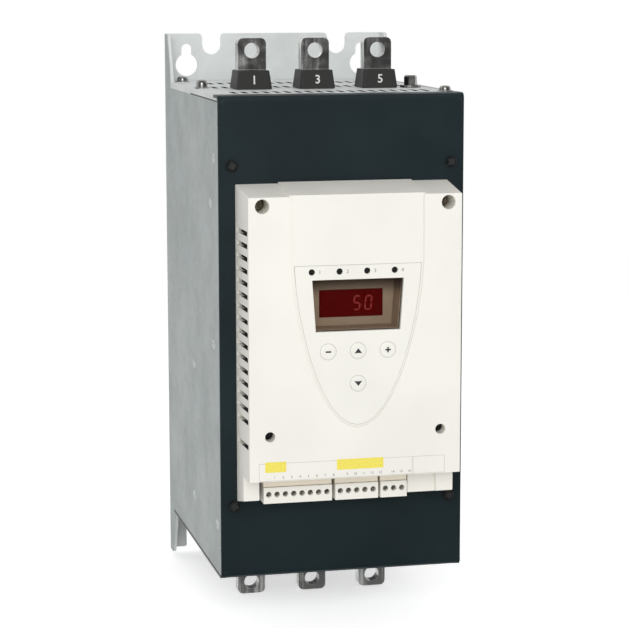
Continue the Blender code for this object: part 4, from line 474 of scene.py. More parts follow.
def clamp_steel():
    """Clamping screws at the bottom of their holes, darkened with painted shade of the holes."""
    base = (0.22, 0.215, 0.20, 1.0)
    finish = Finish("clamp_steel", base, 0.36, metallic=0.8)
    finish.mottle(700, 3.0, 0.5, 1.6)
    return finish.material


def rubbed_zinc():
    """Zinc of the press joints, left lighter than the painted shade of the side panels round them."""
    base = (0.56, 0.60, 0.585, 1.0)
    finish = Finish("rubbed_zinc", base, 0.45, metallic=0.05, specular=0.15)
    finish.mottle(300, 2.0, 0.85, 1.2)
    return finish.material


def ink(name, color):
    """Printed ink with a slightly uneven film."""
    finish = Finish(name, color, 0.5, specular=0.3)
    finish.mottle(1400, 2.0, 0.92, 1.12)
    return finish.material


def glowing_red():
    """Lit segments of the display."""
    finish = Finish("glowing_red", (0.35, 0.01, 0.01, 1.0), 0.4)
    finish.shader.inputs["Emission Color"].default_value = (1.0, 0.05, 0.04, 1.0)
    finish.shader.inputs["Emission Strength"].default_value = 0.07
    glow = finish.between(finish.noise(900, 1.0), 0.0, 1.0)
    finish.color(finish.blend(glow, (0.24, 0.01, 0.01, 1.0), (0.34, 0.02, 0.02, 1.0)))
    return finish.material


# Shapes

def add_piece(name, mesh, material, body="body", smooth=True):
    """Makes an object from a bmesh and lets it ride on a CAD body."""
    data = bpy.data.meshes.new(name)
    bmesh.ops.recalc_face_normals(mesh, faces=mesh.faces)
    mesh.to_mesh(data)
    mesh.free()
    data.materials.append(material)
    obj = bpy.data.objects.new(name, data)
    bpy.context.scene.collection.objects.link(obj)
    if smooth:
        data.set_sharp_from_angle(angle=SMOOTH_ANGLE)
        for face in data.polygons:
            face.use_smooth = True
    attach(obj, body)
    return obj


def axis_turn(axis):
    """Rotation that takes +Z to the given direction."""
    return Vector((0, 0, 1)).rotation_difference(Vector(axis)).to_matrix().to_4x4()


def circle(radius):
    """Points round a circle about the origin."""
    angles = [2 * math.pi * step / TURN_STEPS for step in range(TURN_STEPS)]
    return [(radius * math.cos(angle), radius * math.sin(angle)) for angle in angles]


def add_turned(mesh, profile, place, axis):
    """A closed turned solid; the profile runs from the axis outwards as (radius, height)."""
    move = Matrix.Translation(place) @ axis_turn(axis)
    rings = []
    for radius, height in profile:
        points = circle(radius) if radius else [(0, 0)]
        rings.append([mesh.verts.new(move @ Vector((x, y, height))) for x, y in points])
    for low, high in zip(rings, rings[1:]):
        for step in range(TURN_STEPS):
            after = (step + 1) % TURN_STEPS
            corners = [low[step % len(low)], high[step % len(high)]]
            if len(high) > 1:
                corners.append(high[after])
            if len(low) > 1:
                corners.append(low[after])
            mesh.faces.new(corners)


def add_plate(mesh, outline, y_front, y_back):
    """A thin plate in XZ from its outline, given as (x, z) points."""
    front = [mesh.verts.new((x, y_front, z)) for x, z in outline]
    back = [mesh.verts.new((x, y_back, z)) for x, z in outline]
    mesh.faces.new(front)
    mesh.faces.new(list(reversed(back)))
    count = len(outline)
    for index in range(count):
        after = (index + 1) % count
        mesh.faces.new((front[index], back[index], back[after], front[after]))


def holed_piece(name, outer, inner, y_front, y_back, material):
    """A piece that is a thin plate in XZ with a hole; both outlines have the same number of points."""
    mesh = bmesh.new()
    rings = [[mesh.verts.new((x, y, z)) for x, z in outline]
             for outline, y in ((outer, y_front), (inner, y_front), (inner, y_back), (outer, y_back))]
    count = len(outer)
    for first, second in zip(rings, rings[1:] + rings[:1]):
        for index in range(count):
            after = (index + 1) % count
            mesh.faces.new((first[index], first[after], second[after], second[index]))
    add_piece(name, mesh, material, smooth=False)


def ring_points(x, z, radius):
    """Points round a circle in XZ."""
    return [(x + across, z + up) for across, up in circle(radius)]


def rectangle(left, right, bottom, top):
    """Corners of a rectangle in XZ."""
    return [(left, bottom), (right, bottom), (right, top), (left, top)]


def cut(obj, cutter):
    """Subtracts a bmesh from an object and removes the helper."""
    data = bpy.data.meshes.new("cutter")
    bmesh.ops.recalc_face_normals(cutter, faces=cutter.faces)
    cutter.to_mesh(data)
    cutter.free()
    helper = bpy.data.objects.new("cutter", data)
    bpy.context.scene.collection.objects.link(helper)
    modifier = obj.modifiers.new("cut", "BOOLEAN")
    modifier.operation = "DIFFERENCE"
    modifier.solver = "EXACT"
    modifier.object = helper
    depsgraph = bpy.context.evaluated_depsgraph_get()
    result = bpy.data.meshes.new_from_object(obj.evaluated_get(depsgraph))
    obj.modifiers.clear()
    obj.data = result
    result.set_sharp_from_angle(angle=SMOOTH_ANGLE)
    bpy.data.objects.remove(helper)


def add_bar_box(mesh, move, half_length, half_width, low, high):
    """A box along X before the given move."""
    corners = [
        mesh.verts.new(move @ Vector((x, y, z)))
        for z in (low, high)
        for x, y in ((-half_length, -half_width), (half_length, -half_width),
                     (half_length, half_width), (-half_length, half_width))
    ]
    mesh.faces.new(corners[3::-1])
    mesh.faces.new(corners[4:])
    for index in range(4):
        after = (index + 1) % 4
        mesh.faces.new((corners[index], corners[after], corners[4 + after], corners[4 + index]))


# Pan heads, in shares of the head's radius and height
RIM_HEIGHT = 0.35
DOME_START = 0.55
CROSS_REACH = 0.62
SLOT_REACH = 1.2
SLOT_HALF_WIDTH = 0.13
SLOT_FLOOR = 0.45
SLOT_TOP = 1.3
SHANK_SHARE = 0.5


def pan_screw(name, place, axis, radius, height, material, turn, cross=True, shank=0.0):
    """A pan head with rounded rim and a cross or a slot cut into it; a long shank shows below it."""
    profile = [(0.0, 0.0), (radius, 0.0), (radius, RIM_HEIGHT * height)]
    if shank:
        profile[:1] = [(0.0, -shank), (SHANK_SHARE * radius, -shank), (SHANK_SHARE * radius, 0.0)]
    for step in range(1, DOME_STEPS + 1):
        angle = math.pi / 2 * step / DOME_STEPS
        across = DOME_START + (1 - DOME_START) * math.cos(angle)
        up = RIM_HEIGHT + (1 - RIM_HEIGHT) * math.sin(angle)
        profile.append((radius * across, height * up))
    profile.append((0.0, height))
    mesh = bmesh.new()
    add_turned(mesh, profile, place, axis)
    screw = add_piece(name, mesh, material)
    move = Matrix.Translation(place) @ axis_turn(axis) @ Matrix.Rotation(turn, 4, "Z")
    reach = radius * (CROSS_REACH if cross else SLOT_REACH)
    for slot_turn in (Matrix(), QUARTER_TURN) if cross else (Matrix(),):
        cutter = bmesh.new()
        half_width = SLOT_HALF_WIDTH * radius
        add_bar_box(cutter, move @ slot_turn, reach, half_width, SLOT_FLOOR * height, SLOT_TOP * height)
        cut(screw, cutter)


FONT_STEPS = 3


def lettering(name, words, place, size, material, boldness=0.0, lean=0.0):
    """Raised print that faces the front, leaning back by an angle; the place is its middle."""
    curve = bpy.data.curves.new(name, "FONT")
    curve.body = words
    curve.size = size
    curve.align_x = "CENTER"
    curve.align_y = "CENTER"
    curve.offset = boldness
    curve.resolution_u = FONT_STEPS
    curve.extrude = PRINT / 2
    text = bpy.data.objects.new(name, curve)
    bpy.context.scene.collection.objects.link(text)
    depsgraph = bpy.context.evaluated_depsgraph_get()
    data = bpy.data.meshes.new_from_object(text.evaluated_get(depsgraph))
    bpy.data.objects.remove(text)
    xs, ys = [v.co.x for v in data.vertices], [v.co.y for v in data.vertices]
    centre = Vector(((min(xs) + max(xs)) / 2, (min(ys) + max(ys)) / 2, 0))
    stand = Matrix.Rotation(math.pi / 2 - lean, 4, "X")
    data.transform(Matrix.Translation(place) @ stand @ Matrix.Translation(-centre))
    data.materials.clear()
    data.materials.append(material)
    obj = bpy.data.objects.new(name, data)
    bpy.context.scene.collection.objects.link(obj)
    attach(obj, "body")


def front_of(node, x, z):
    """The y of a node's surface as seen from the front at x, z."""
    obj = frame["nodes"][node]
    hit, place, _, _ = obj.ray_cast(Vector((x, RAY_START, z)), Vector((0, 1, 0)))
    assert hit, (node, x, z)
    return place.y


def front_slope(node):
    """Middle of a node's front face and the angle by which that face leans back."""
    low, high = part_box(node)
    x, quarter = (low.x + high.x) / 2, (high.z - low.z) / 4
    below, above = low.z + quarter, high.z - quarter
    near, far = front_of(node, x, below), front_of(node, x, above)
    return Vector((x, (near + far) / 2, (below + above) / 2)), math.atan2(far - near, above - below)


# Stage, light and camera

def make_floor():
    """A pale floor that keeps the object's shadow and runs out into the white background.

    Reflections don't see the part of it that lies in front of the object.
    """
    mesh = bmesh.new()
    bmesh.ops.create_circle(mesh, cap_ends=True, radius=FLOOR_RADIUS, segments=FLOOR_STEPS)
    data = bpy.data.meshes.new("floor")
    mesh.to_mesh(data)
    mesh.free()
    floor = bpy.data.objects.new("floor", data)
    floor.location.z = CAD_BOX[0].z - FLOOR_DROP
    bpy.context.scene.collection.objects.link(floor)
    material = bpy.data.materials.new("floor")
    material.use_nodes = True
    tree = material.node_tree
    tree.nodes.remove(tree.nodes["Principled BSDF"])
    place = add_node(tree, "ShaderNodeTexCoord").outputs["Object"]
    seen = seen_directly(tree)
    pale = add_node(tree, "ShaderNodeBsdfDiffuse", {"Color": (*FLOOR_COLOR, 1.0)})
    strength = add_node(tree, "ShaderNodeMath", {0: seen, 1: FLOOR_LIFT}, operation="MULTIPLY")
    lift = add_node(tree, "ShaderNodeEmission", {"Strength": strength.outputs[0]})
    lifted = add_node(tree, "ShaderNodeAddShader", {0: pale.outputs[0], 1: lift.outputs[0]})
    away = add_node(tree, "ShaderNodeVectorMath", {0: place}, operation="LENGTH").outputs["Value"]
    values = {"Value": away, "From Min": FADE_NEAR, "From Max": FADE_FAR}
    fade = add_node(tree, "ShaderNodeMapRange", values, interpolation_type="SMOOTHSTEP")
    share = add_node(tree, "ShaderNodeMath", {0: fade.outputs["Result"], 1: seen}, operation="MULTIPLY")
    white = add_node(tree, "ShaderNodeEmission")
    near = {0: share.outputs[0], 1: lifted.outputs[0], 2: white.outputs[0]}
    mix = add_node(tree, "ShaderNodeMixShader", near)
    depth = add_node(tree, "ShaderNodeSeparateXYZ", {0: place}).outputs["Y"]
    low, high = TABLE_EDGE
    values = {"Value": depth, "From Min": low, "From Max": high, "To Min": 1.0, "To Max": 0.0}
    edge = add_node(tree, "ShaderNodeMapRange", values).outputs["Result"]
    mirrored = add_node(tree, "ShaderNodeLightPath").outputs["Is Glossy Ray"]
    beyond = add_node(tree, "ShaderNodeMath", {0: edge, 1: mirrored}, operation="MULTIPLY")
    clear = add_node(tree, "ShaderNodeBsdfTransparent")
    values = {0: beyond.outputs[0], 1: mix.outputs[0], 2: clear.outputs[0]}
    whole = add_node(tree, "ShaderNodeMixShader", values)
    tree.links.new(whole.outputs[0], tree.nodes["Material Output"].inputs["Surface"])
    data.materials.append(material)


def seen_directly(tree):
    """1 for camera, glossy and transmission rays, and 0 for the rays that light the object."""
    rays = add_node(tree, "ShaderNodeLightPath").outputs
    seen = rays["Is Camera Ray"]
    for kind in ("Is Glossy Ray", "Is Transmission Ray"):
        seen = add_node(tree, "ShaderNodeMath", {0: seen, 1: rays[kind]}, operation="MAXIMUM").outputs[0]
    return seen


def make_world():
    """Even soft light, seen as plain white; reflections show a dim room in front of the object."""
    world = bpy.data.worlds.new("studio")
    world.use_nodes = True
    tree = world.node_tree
    background = tree.nodes["Background"]
    background.inputs["Color"].default_value = (1, 1, 1, 1)
    values = {"Value": seen_directly(tree), "To Min": WORLD_LIGHT, "To Max": 1.0}
    strength = add_node(tree, "ShaderNodeMapRange", values).outputs["Result"]
    direction = add_node(tree, "ShaderNodeTexCoord").outputs["Generated"]
    values = {
        "Value": add_node(tree, "ShaderNodeSeparateXYZ", {0: direction}).outputs["Y"],
        "From Min": ROOM_NEAR, "From Max": ROOM_FAR, "To Min": ROOM_REFLECTION, "To Max": 1.0,
    }
    room = add_node(tree, "ShaderNodeMapRange", values, interpolation_type="SMOOTHSTEP").outputs["Result"]
    mirrored = add_node(tree, "ShaderNodeLightPath").outputs["Is Glossy Ray"]
    shown = add_node(tree, "ShaderNodeMix", {"Factor": mirrored, "A": strength, "B": room})
    tree.links.new(shown.outputs["Result"], background.inputs["Strength"])
    bpy.context.scene.world = world


def make_key_light():
    """One large soft lamp in front of the object, above it and a little to the left."""
    lamp = bpy.data.lights.new("key", "AREA")
    lamp.shape = "DISK"
    lamp.size = KEY_SIZE
    lamp.energy = KEY_POWER
    light = bpy.data.objects.new("key", lamp)
    light.location = KEY_PLACE
    light.rotation_euler = (Vector(TARGET) - Vector(KEY_PLACE)).to_track_quat("-Z", "Y").to_euler()
    bpy.context.scene.collection.objects.link(light)


def make_camera():
    """The camera at the photograph's viewing angle."""
    yaw, pitch, roll = (math.radians(a) for a in (CAMERA_YAW, CAMERA_PITCH, CAMERA_ROLL))
    ahead = Vector((math.sin(yaw) * math.cos(pitch), math.cos(yaw) * math.cos(pitch), -math.sin(pitch)))
    right = Vector((math.cos(yaw), -math.sin(yaw), 0))
    up = right.cross(ahead)
    across = right * math.cos(roll) + up * math.sin(roll)
    upwards = up * math.cos(roll) - right * math.sin(roll)
    data = bpy.data.cameras.new("camera")
    data.sensor_width = SENSOR_WIDTH
    data.lens = CAMERA_FOCAL_PIXELS * SENSOR_WIDTH / PICTURE_WIDTH
    camera = bpy.data.objects.new("camera", data)
    turn = Matrix((across, upwards, -ahead)).transposed().to_4x4()
    camera.matrix_world = Matrix.Translation(CAMERA_PLACE) @ turn
    bpy.context.scene.collection.objects.link(camera)
    bpy.context.scene.camera = camera


# The CAD's finishes

FINISHES = (
    galvanised_sheet, black_sheet, cream_plastic, cream_film, smoked_window, red_display,
    light_guide, tinned_copper, black_plastic, aluminium, circuit_board, bright_steel,
    laminated_iron, coil_winding, beige_plastic, module_resin,
)


def dress_nodes():
    """Gives every CAD node the finish of its slot in the record."""
    finishes = {make.__name__: make() for make in FINISHES}
    for part in frame["record"]["subparts"]:
        node = frame["nodes"][part["node"]]
        for slot in node.material_slots:
            slot.material = finishes[part["material_slot"]]
    return finishes


# Small pieces

BOTH_SIDES = (("left", -1), ("right", 1))
RIGHT_SIDE = (("right", 1),)
# Name, x, depth behind the front cover's face, radius, height, sides
TOP_SCREWS = (
    ("top_screw_rear", 0.0657, 0.1766, 0.0036, 0.0028, BOTH_SIDES),
    ("top_screw_side", 0.0680, 0.0914, 0.0036, 0.0044, BOTH_SIDES),
    ("top_screw_front", 0.0690, 0.0201, 0.0034, 0.0026, RIGHT_SIDE),
)
TOP_SCREW_TURN = 0.4
WASHER_MARGIN = 0.0012
WASHER_HEIGHT = 0.0006


def make_top_screws(steel):
    """Screws that hold the top plate."""
    for name, x, depth, radius, height, sides in TOP_SCREWS:
        rim, top = radius + WASHER_MARGIN, WASHER_HEIGHT
        profile = [(0, 0), (rim, 0), (rim, top / 2), (rim - top / 2, top), (0, top)]
        for side, sign in sides:
            place = Vector((sign * x, FRONT_PLANE + depth, TOP_PLANE))
            washer = bmesh.new()
            add_turned(washer, profile, place, (0, 0, 1))
            add_piece(f"{name}_{side}_washer", washer, steel)
            place.z += WASHER_HEIGHT
            pan_screw(f"{name}_{side}", place, (0, 0, 1), radius, height, steel, TOP_SCREW_TURN)


# Depth behind the front cover's face, height above the underside of the bottom plate
SIDE_DIMPLES = (
    (0.0264, 0.2255), (0.0889, 0.1171), (0.0144, 0.2534),
    (0.0196, 0.1405), (0.0916, 0.0312), (0.0119, 0.0313),
)
DIMPLE_RADIUS = 0.0029
DIMPLE_STRETCH = 1.7
DIMPLE_RISE = 0.0003
# (radius, rise) in shares of the two sizes above
DIMPLE_PROFILE = (
    (0.0, 0.0002), (0.45, 0.0002), (0.62, 1.0), (0.8, 0.9), (1.0, 0.0), (1.0, -0.3), (0.0, -0.3),
)


def make_side_dimples(zinc):
    """Press joints in the two side panels: a low ring round a shallow cup."""
    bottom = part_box("bottom_plate")[0].z
    profile = [(r * DIMPLE_RADIUS, h * DIMPLE_RISE) for r, h in DIMPLE_PROFILE]
    for index, (depth, height) in enumerate(SIDE_DIMPLES, start=1):
        for side, sign in BOTH_SIDES:
            place = Vector((sign * HALF_WIDTH, FRONT_PLANE + depth, bottom + height))
            mesh = bmesh.new()
            add_turned(mesh, profile, place, (sign, 0, 0))
            for vert in mesh.verts:
                vert.co.y = place.y + DIMPLE_STRETCH * (vert.co.y - place.y)
            add_piece(f"press_joint_{side}_{index}", mesh, zinc)


# x, z, radius of the screw's head and its depth below the housing's face, upper pair first
BORES = ((0.0558, 0.0835, 0.0039, 0.0160), (0.0517, -0.0519, 0.0028, 0.0085))
BORE_HEAD_HEIGHT = 0.0022
BORE_SURROUND = 0.0055
BORE_HEAD_TURN = 17
BORE_FLOOR = 0.0030


def make_housing_screws(upper_steel, lower_steel):
    """Captive screws in the four bores of the control housing; their shanks reach the bottom."""
    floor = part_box("control_housing")[1].y - BORE_FLOOR
    number = 0
    for (x, z, radius, depth), steel in zip(BORES, (upper_steel, lower_steel)):
        for sign in (-1, 1):
            number += 1
            level = front_of("control_housing", sign * (x - BORE_SURROUND), z) + depth
            name, place = f"housing_screw_{number}", Vector((sign * x, level, z))
            turn, shank = math.radians(BORE_HEAD_TURN * number), floor - level
            pan_screw(name, place, (0, -1, 0), radius, BORE_HEAD_HEIGHT, steel, turn, shank=shank)


PLUG_HOLE_DEPTH = 0.0040
POLE_PITCH = 0.00508
PLUG_HOLE_RISE = 0.00545
CLAMP_RADIUS = 0.00165
CLAMP_HEIGHT = 0.0012
CLAMP_TURN = 47
POLE_COUNTS = (8, 5, 3)


def pole_places():
    """(x, y at the bottom of the hole, z) of every screw hole of the plug-in terminals."""
    places = []
    for number, count in enumerate(POLE_COUNTS, start=1):
        low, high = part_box(f"plug_{number}")
        middle = (low.x + high.x) / 2
        for pole in range(count):
            x = middle + (pole - (count - 1) / 2) * POLE_PITCH
            places.append(Vector((x, low.y + PLUG_HOLE_DEPTH, low.z + PLUG_HOLE_RISE)))
    return places


def make_clamp_screws(steel):
    """Slotted clamping screws, each left at its own angle."""
    for number, place in enumerate(pole_places(), start=1):
        name, turn = f"clamp_screw_{number}", math.radians(CLAMP_TURN * number % 180)
        pan_screw(name, place, (0, -1, 0), CLAMP_RADIUS, CLAMP_HEIGHT, steel, turn, cross=False)


COVER_SCREWS = ("cover_screw_1", "cover_screw_2", "cover_screw_3", "cover_screw_4")
RECESS_RADIUS = 0.0017
RECESS_RIM = 0.0026
RECESS_REACH = 0.0024
RECESS_WIDTH = 0.0008
RECESS_TURN = 25
RIM_RISE = 3 * PRINT
BAR_RISES = (3.25 * PRINT, 3.5 * PRINT)


def make_cover_screws(dark, joint):
    """The black finish, a raised rim and a dark cross for each cover screw; the dark disc and cross are
    painted shade that stands in for a cross recess.
    """
    for number, name in enumerate(COVER_SCREWS, start=1):
        frame["nodes"][name].material_slots[0].material = dark
        low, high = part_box(name)
        x, z = (low.x + high.x) / 2, (low.z + high.z) / 2
        outer, inner = ring_points(x, z, RECESS_RIM), ring_points(x, z, RECESS_RADIUS)
        holed_piece(f"{name}_rim", outer, inner, low.y - RIM_RISE, low.y + PRINT, dark)
        # Painted shade: a dark disc and cross on the head stand in for the recess
        recess_shade = bmesh.new()
        add_plate(recess_shade, inner, low.y - PRINT / 2, low.y + PRINT)
        for quarter, rise in enumerate(BAR_RISES):
            angle = math.radians(RECESS_TURN * number) + quarter * math.pi / 2
            turn = axis_turn((0, -1, 0)) @ Matrix.Rotation(angle, 4, "Z")
            move = Matrix.Translation((x, low.y, z)) @ turn
            add_bar_box(recess_shade, move, RECESS_REACH, RECESS_WIDTH / 2, -PRINT, rise)
        add_piece(f"{name}_recess", recess_shade, joint, smooth=False)


BEND_RADIUS = 0.0035
CORNER_SHEET = 0.00175
CORNER_LAP = 0.0010
CORNER_PROUD = 0.00003


def fold_arc(radius):
    """(depth, height) points of a quarter fold about its own centre, from the face to the flange."""
    angles = [math.pi / 2 * step / DOME_STEPS for step in range(DOME_STEPS + 1)]
    return [(-radius * math.cos(a), radius * math.sin(a)) for a in angles]


def make_cover_corners(sheet):
    """The closed corners of the cover, where its folds meet the side panels."""
    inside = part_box("top_plate")[1].x - CORNER_LAP
    low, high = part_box("front_cover")
    length = high.y - low.y - BEND_RADIUS
    outer, inner = fold_arc(BEND_RADIUS), fold_arc(BEND_RADIUS - CORNER_SHEET)
    outline = [(outer[0][0], -CORNER_LAP), *outer, (length, outer[-1][1])]
    outline += [(length, inner[-1][1]), *reversed(inner), (inner[0][0], -CORNER_LAP)]
    middle_y, middle_z = low.y - CORNER_PROUD + BEND_RADIUS, high.z + CORNER_PROUD - BEND_RADIUS
    for level, up in (("top", 1), ("bottom", -1)):
        for side, sign in BOTH_SIDES:
            mesh = bmesh.new()
            ends = [
                [mesh.verts.new((sign * x, middle_y + y, up * (middle_z + z))) for y, z in outline]
                for x in (inside, HALF_WIDTH + CORNER_PROUD)
            ]
            mesh.faces.new(ends[0])
            mesh.faces.new(list(reversed(ends[1])))
            for index in range(len(outline)):
                after = (index + 1) % len(outline)
                mesh.faces.new((ends[0][index], ends[1][index], ends[1][after], ends[0][after]))
            add_piece(f"cover_corner_{level}_{side}", mesh, sheet)


# Sizes of the dark lines of painted shade on the side panels
TOP_SHADE_LENGTH = 0.090
TOP_SHADE_HEIGHT = 0.0008
BOTTOM_SHADE_HEIGHT = 0.0018
SHADE_LINE_FRONT = 0.0020


def make_joint_lines(joint):
    """Dark lines of painted shade on the side panels, below the top plate and along the lower edge."""
    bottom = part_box("bottom_plate")[0].z
    front = FRONT_PLANE + SHADE_LINE_FRONT
    shade_lines = (
        ("top", front, front + TOP_SHADE_LENGTH, TOP_PLANE - SIDE_SEAM, TOP_SHADE_HEIGHT),
        ("bottom", front, -SIDE_FLANGE, bottom, BOTTOM_SHADE_HEIGHT),
    )
    for level, low, high, z, height in shade_lines:
        for side, sign in BOTH_SIDES:
            mesh = bmesh.new()
            move = Matrix.Translation((sign * HALF_WIDTH, (low + high) / 2, z)) @ QUARTER_TURN
            add_bar_box(mesh, move, (high - low) / 2, PRINT, 0.0, height)
            add_piece(f"{level}_joint_{side}", mesh, joint, smooth=False)


# Display

DIGIT_WIDTH = 0.0046
DIGIT_HEIGHT = 0.0090
SEGMENT = 0.0010
SEGMENT_GAP = 0.00018
DIGIT_LEAN = 0.10
DIGIT_PITCH = 0.0070
DIGIT_RIGHT = 0.0087
DISPLAYED = "50"
SEGMENTS = {
    "0": "abcdef", "1": "bc", "2": "abdeg", "3": "abcdg", "4": "bcfg",
    "5": "acdfg", "6": "acdefg", "7": "abc", "8": "abcdefg", "9": "abcdfg",
}


def segment_outline(letter):
    """Six corners of one segment, about the middle of its digit."""
    half_w, half_h, t, g = DIGIT_WIDTH / 2, DIGIT_HEIGHT / 2, SEGMENT / 2, SEGMENT_GAP
    levels = {"a": half_h - t, "g": 0.0, "d": -half_h + t}
    if letter in levels:
        z = levels[letter]
        a = half_w - t - g
        return [(-a, z), (-a + t, z + t), (a - t, z + t), (a, z), (a - t, z - t), (-a + t, z - t)]
    x = half_w - t if letter in "bc" else -half_w + t
    low, high = (g, half_h - t - g) if letter in "bf" else (-half_h + t + g, -g)
    return [(x, low), (x + t, low + t), (x + t, high - t), (x, high), (x - t, high - t), (x - t, low + t)]


def make_digits(glow):
    """The lit number, right-aligned on the display."""
    low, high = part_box("display_module")
    middle_z = (low.z + high.z) / 2
    for index, digit in enumerate(reversed(DISPLAYED), start=1):
        middle_x = high.x - DIGIT_RIGHT - (index - 1) * DIGIT_PITCH
        mesh = bmesh.new()
        for letter in SEGMENTS[digit]:
            outline = [
                (middle_x + x + DIGIT_LEAN * z, middle_z + z) for x, z in segment_outline(letter)
            ]
            add_plate(mesh, outline, low.y - PRINT, low.y)
        add_piece(f"digit_{index}", mesh, glow, smooth=False)


TRAY_MARGIN = 0.0003
TRAY_WALL = 0.0003
TRAY_SETBACK = 0.0008
FACE_TOLERANCE = 0.0001


def window_outline(margin):
    """The window's outline, grown by a margin."""
    obj = frame["nodes"]["display_window"]
    front = min(v.co.y for v in obj.data.vertices)
    corners = [(v.co.x, v.co.z) for v in obj.data.vertices if v.co.y < front + FACE_TOLERANCE]
    top = max(z for _, z in corners)
    bottom = min(z for _, z in corners)
    high = sorted(x for x, z in corners if z > (top + bottom) / 2)
    low = sorted(x for x, z in corners if z < (top + bottom) / 2)
    return [
        (low[0] - margin, bottom - margin), (low[-1] + margin, bottom - margin),
        (high[-1] + margin, top + margin), (high[0] - margin, top + margin),
    ]


def make_window_tray(shade_finish):
    """The dark tray behind the window, with an opening for the display."""
    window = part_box("display_window")
    low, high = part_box("display_module")
    back = low.y + TRAY_SETBACK
    outer, inner = window_outline(-TRAY_MARGIN), window_outline(-TRAY_MARGIN - TRAY_WALL)
    holed_piece("window_tray_walls", outer, inner, window[1].y + PRINT, back, shade_finish)
    gap = TRAY_WALL / 2
    hole = rectangle(low.x - gap, high.x + gap, low.z - gap, high.z + gap)
    holed_piece("window_tray_floor", inner, hole, back - TRAY_WALL, back, shade_finish)


# Printed marks

KEYS = ("key_left", "key_up", "key_right", "key_down")
RING_INNER = 0.00472
RING_OUTER = 0.00506
RING_BACK = 3 * PRINT
BEAD_INNER = 0.00002
BEAD_OUTER = 0.00026
BEAD_DEPTH = 0.00014
BEAD_THICKNESS = 0.0002
ARROW_HALF = 0.0023
ARROW_HEIGHT = 0.0030
ARROW_NOTCH = 0.0003
SIGN_LENGTH = 0.0032
SIGN_WIDTH = 0.0009
LIGHT_COUNT = 4
LIGHT_SIDE_ROOM = 0.0033
LIGHT_NUMBER_SHIFT = 0.0048
LIGHT_NUMBER_SIZE = 0.0030
TERMINAL_NUMBER_RISE = 0.0212
TERMINAL_NUMBER_SIZE = 0.0021
SHROUD_NUMBER_SIZE = 0.0074
SHROUD_NUMBERS = ("1", "3", "5")
BOLD = 0.0001


def key_middle(name):
    """x, the y of its face, and z of a key."""
    low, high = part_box(name)
    return (low.x + high.x) / 2, low.y, (low.z + high.z) / 2


def make_key_prints(edge, dark):
    """Grey rings of painted shade in the gaps at the film's edge round each key, arrows on two keys and
    plain signs on the others.
    """
    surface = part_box("keypad_overlay")[0].y
    for key in KEYS:
        x, _, z = key_middle(key)
        outer, inner = ring_points(x, z, RING_OUTER), ring_points(x, z, RING_INNER)
        holed_piece(f"{key}_ring", outer, inner, surface + PRINT, surface + RING_BACK, edge)
    for key, sign in (("key_up", 1), ("key_down", -1)):
        x, top, z = key_middle(key)
        half = sign * ARROW_HEIGHT / 2
        outline = [(x - ARROW_HALF, z - half), (x, z - half + sign * ARROW_NOTCH),
                   (x + ARROW_HALF, z - half), (x, z + half)]
        mesh = bmesh.new()
        add_plate(mesh, outline, top - PRINT, top + PRINT)
        add_piece(f"{key}_arrow", mesh, dark, body=key, smooth=False)
    long, short = SIGN_LENGTH / 2, SIGN_WIDTH / 2
    minus = rectangle(-long, long, -short, short)
    plus = [
        (-long, -short), (-short, -short), (-short, -long), (short, -long), (short, -short), (long, -short),
        (long, short), (short, short), (short, long), (-short, long), (-short, short), (-long, short),
    ]
    for key, outline in (("key_left", minus), ("key_right", plus)):
        x, top, z = key_middle(key)
        mesh = bmesh.new()
        add_plate(mesh, [(x + a, z + b) for a, b in outline], top - PRINT, top + PRINT)
        add_piece(f"{key}_sign", mesh, dark, body=key, smooth=False)


def overlay_edge(margin):
    """The keypad film's outline, grown by a margin."""
    corners = [(v.co.x, v.co.z) for v in frame["nodes"]["keypad_overlay"].data.vertices]
    outline = [Vector(corners[index]) for index in convex_hull_2d(corners)]
    grown = []
    for index, point in enumerate(outline):
        along = outline[(index + 1) % len(outline)] - outline[index - 1]
        outwards = Vector((along.y, -along.x)).normalized()
        grown.append(tuple(point + margin * outwards))
    return grown


def make_overlay_bead(edge):
    """A thin grey line round the keypad film."""
    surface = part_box("keypad_overlay")[0].y + BEAD_DEPTH
    outer, inner = overlay_edge(BEAD_OUTER), overlay_edge(BEAD_INNER)
    holed_piece("keypad_bead", outer, inner, surface, surface + BEAD_THICKNESS, edge)


def make_numbers(grey, white):
    """Plain numbers beside the lights, above the terminals and on the shrouds."""
    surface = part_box("keypad_overlay")[0].y
    low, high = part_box("light_guide")
    pitch = (high.x - low.x - 2 * LIGHT_SIDE_ROOM) / (LIGHT_COUNT - 1)
    level = (low.z + high.z) / 2
    for index in range(LIGHT_COUNT):
        place = Vector((low.x + LIGHT_SIDE_ROOM + index * pitch + LIGHT_NUMBER_SHIFT, surface, level))
        lettering(f"light_number_{index + 1}", str(index + 1), place, LIGHT_NUMBER_SIZE, grey)
    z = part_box("control_housing")[0].z + TERMINAL_NUMBER_RISE
    for number, pole in enumerate(pole_places(), start=1):
        place = Vector((pole.x, front_of("control_housing", pole.x, z), z))
        lettering(f"terminal_number_{number}", str(number), place, TERMINAL_NUMBER_SIZE, grey)
    for index, words in enumerate(SHROUD_NUMBERS, start=1):
        place, lean = front_slope(f"line_shroud_{index}")
        lettering(f"line_number_{index}", words, place, SHROUD_NUMBER_SIZE, white, boldness=BOLD, lean=lean)


# Left and right edges of the label films
LABELS = ((-0.0585, 0.0346), (0.0350, 0.0545))
LABEL_BOTTOM = -0.0783
LABEL_TOP = -0.0677
LABEL_LINE = 0.00022


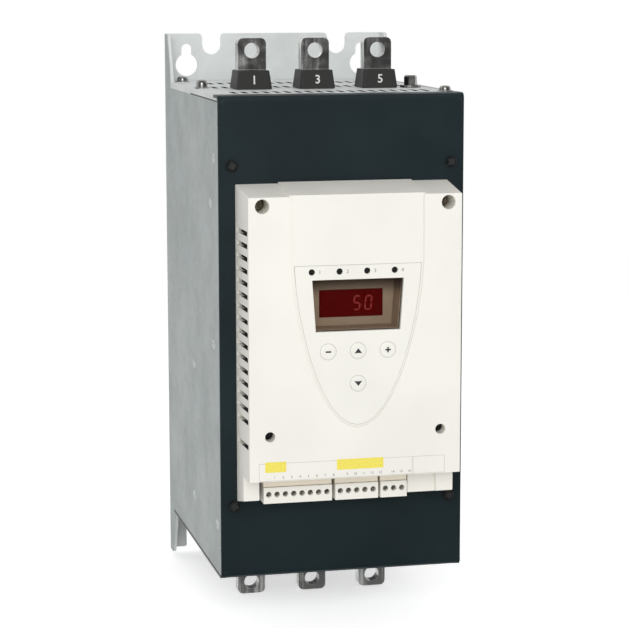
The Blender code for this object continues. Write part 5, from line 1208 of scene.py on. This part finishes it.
def make_labels(edge):
    """The edges of two clear label films above the terminals; the films themselves are bare."""
    for number, (left, right) in enumerate(LABELS, start=1):
        y = front_of("control_housing", (left + right) / 2, (LABEL_BOTTOM + LABEL_TOP) / 2)
        outer = rectangle(left, right, LABEL_BOTTOM, LABEL_TOP)
        inner = rectangle(
            left + LABEL_LINE, right - LABEL_LINE, LABEL_BOTTOM + LABEL_LINE, LABEL_TOP - LABEL_LINE
        )
        holed_piece(f"terminal_label_{number}", outer, inner, y - PRINT / 2, y + PRINT, edge)


# Left, right, bottom and top edges of the coloured fields
PATCHES = ((-0.0548, -0.0422, -0.0731, -0.0669), (-0.0116, 0.0168, -0.0735, -0.0672))


def make_patches(yellow):
    """Two plain coloured fields above the terminals."""
    for number, (left, right, bottom, top) in enumerate(PATCHES, start=1):
        y = front_of("control_housing", (left + right) / 2, (bottom + top) / 2)
        mesh = bmesh.new()
        add_plate(mesh, rectangle(left, right, bottom, top), y - PRINT, y + PRINT)
        add_piece(f"terminal_field_{number}", mesh, yellow, smooth=False)


def main():
    scene = bpy.context.scene
    scene.view_settings.view_transform = "Standard"
    make_camera()
    make_world()
    make_key_light()
    make_floor()
    finishes = dress_nodes()
    steel = finishes["bright_steel"]
    grey = ink("grey_ink", srgb(120, 120, 118))
    edge = ink("film_edge", srgb(196, 194, 186))
    # Painted shade: dark ink for the shade lines on the side panels and the cross marks on the cover screws
    joint = ink("shade_line_ink", srgb(46, 48, 47))
    dark = ink("dark_ink", srgb(60, 62, 62))
    white = ink("white_ink", srgb(225, 225, 222))
    yellow = ink("yellow_ink", srgb(247, 229, 100))
    black_screws = dark_steel()
    make_top_screws(steel)
    make_side_dimples(rubbed_zinc())
    make_housing_screws(browned_steel(), black_screws)
    make_clamp_screws(clamp_steel())
    make_cover_screws(black_screws, joint)
    make_cover_corners(finishes["black_sheet"])
    make_joint_lines(joint)
    make_digits(glowing_red())
    make_window_tray(window_shade())
    make_key_prints(edge, dark)
    make_overlay_bead(edge)
    make_numbers(grey, white)
    make_labels(edge)
    make_patches(yellow)


main()
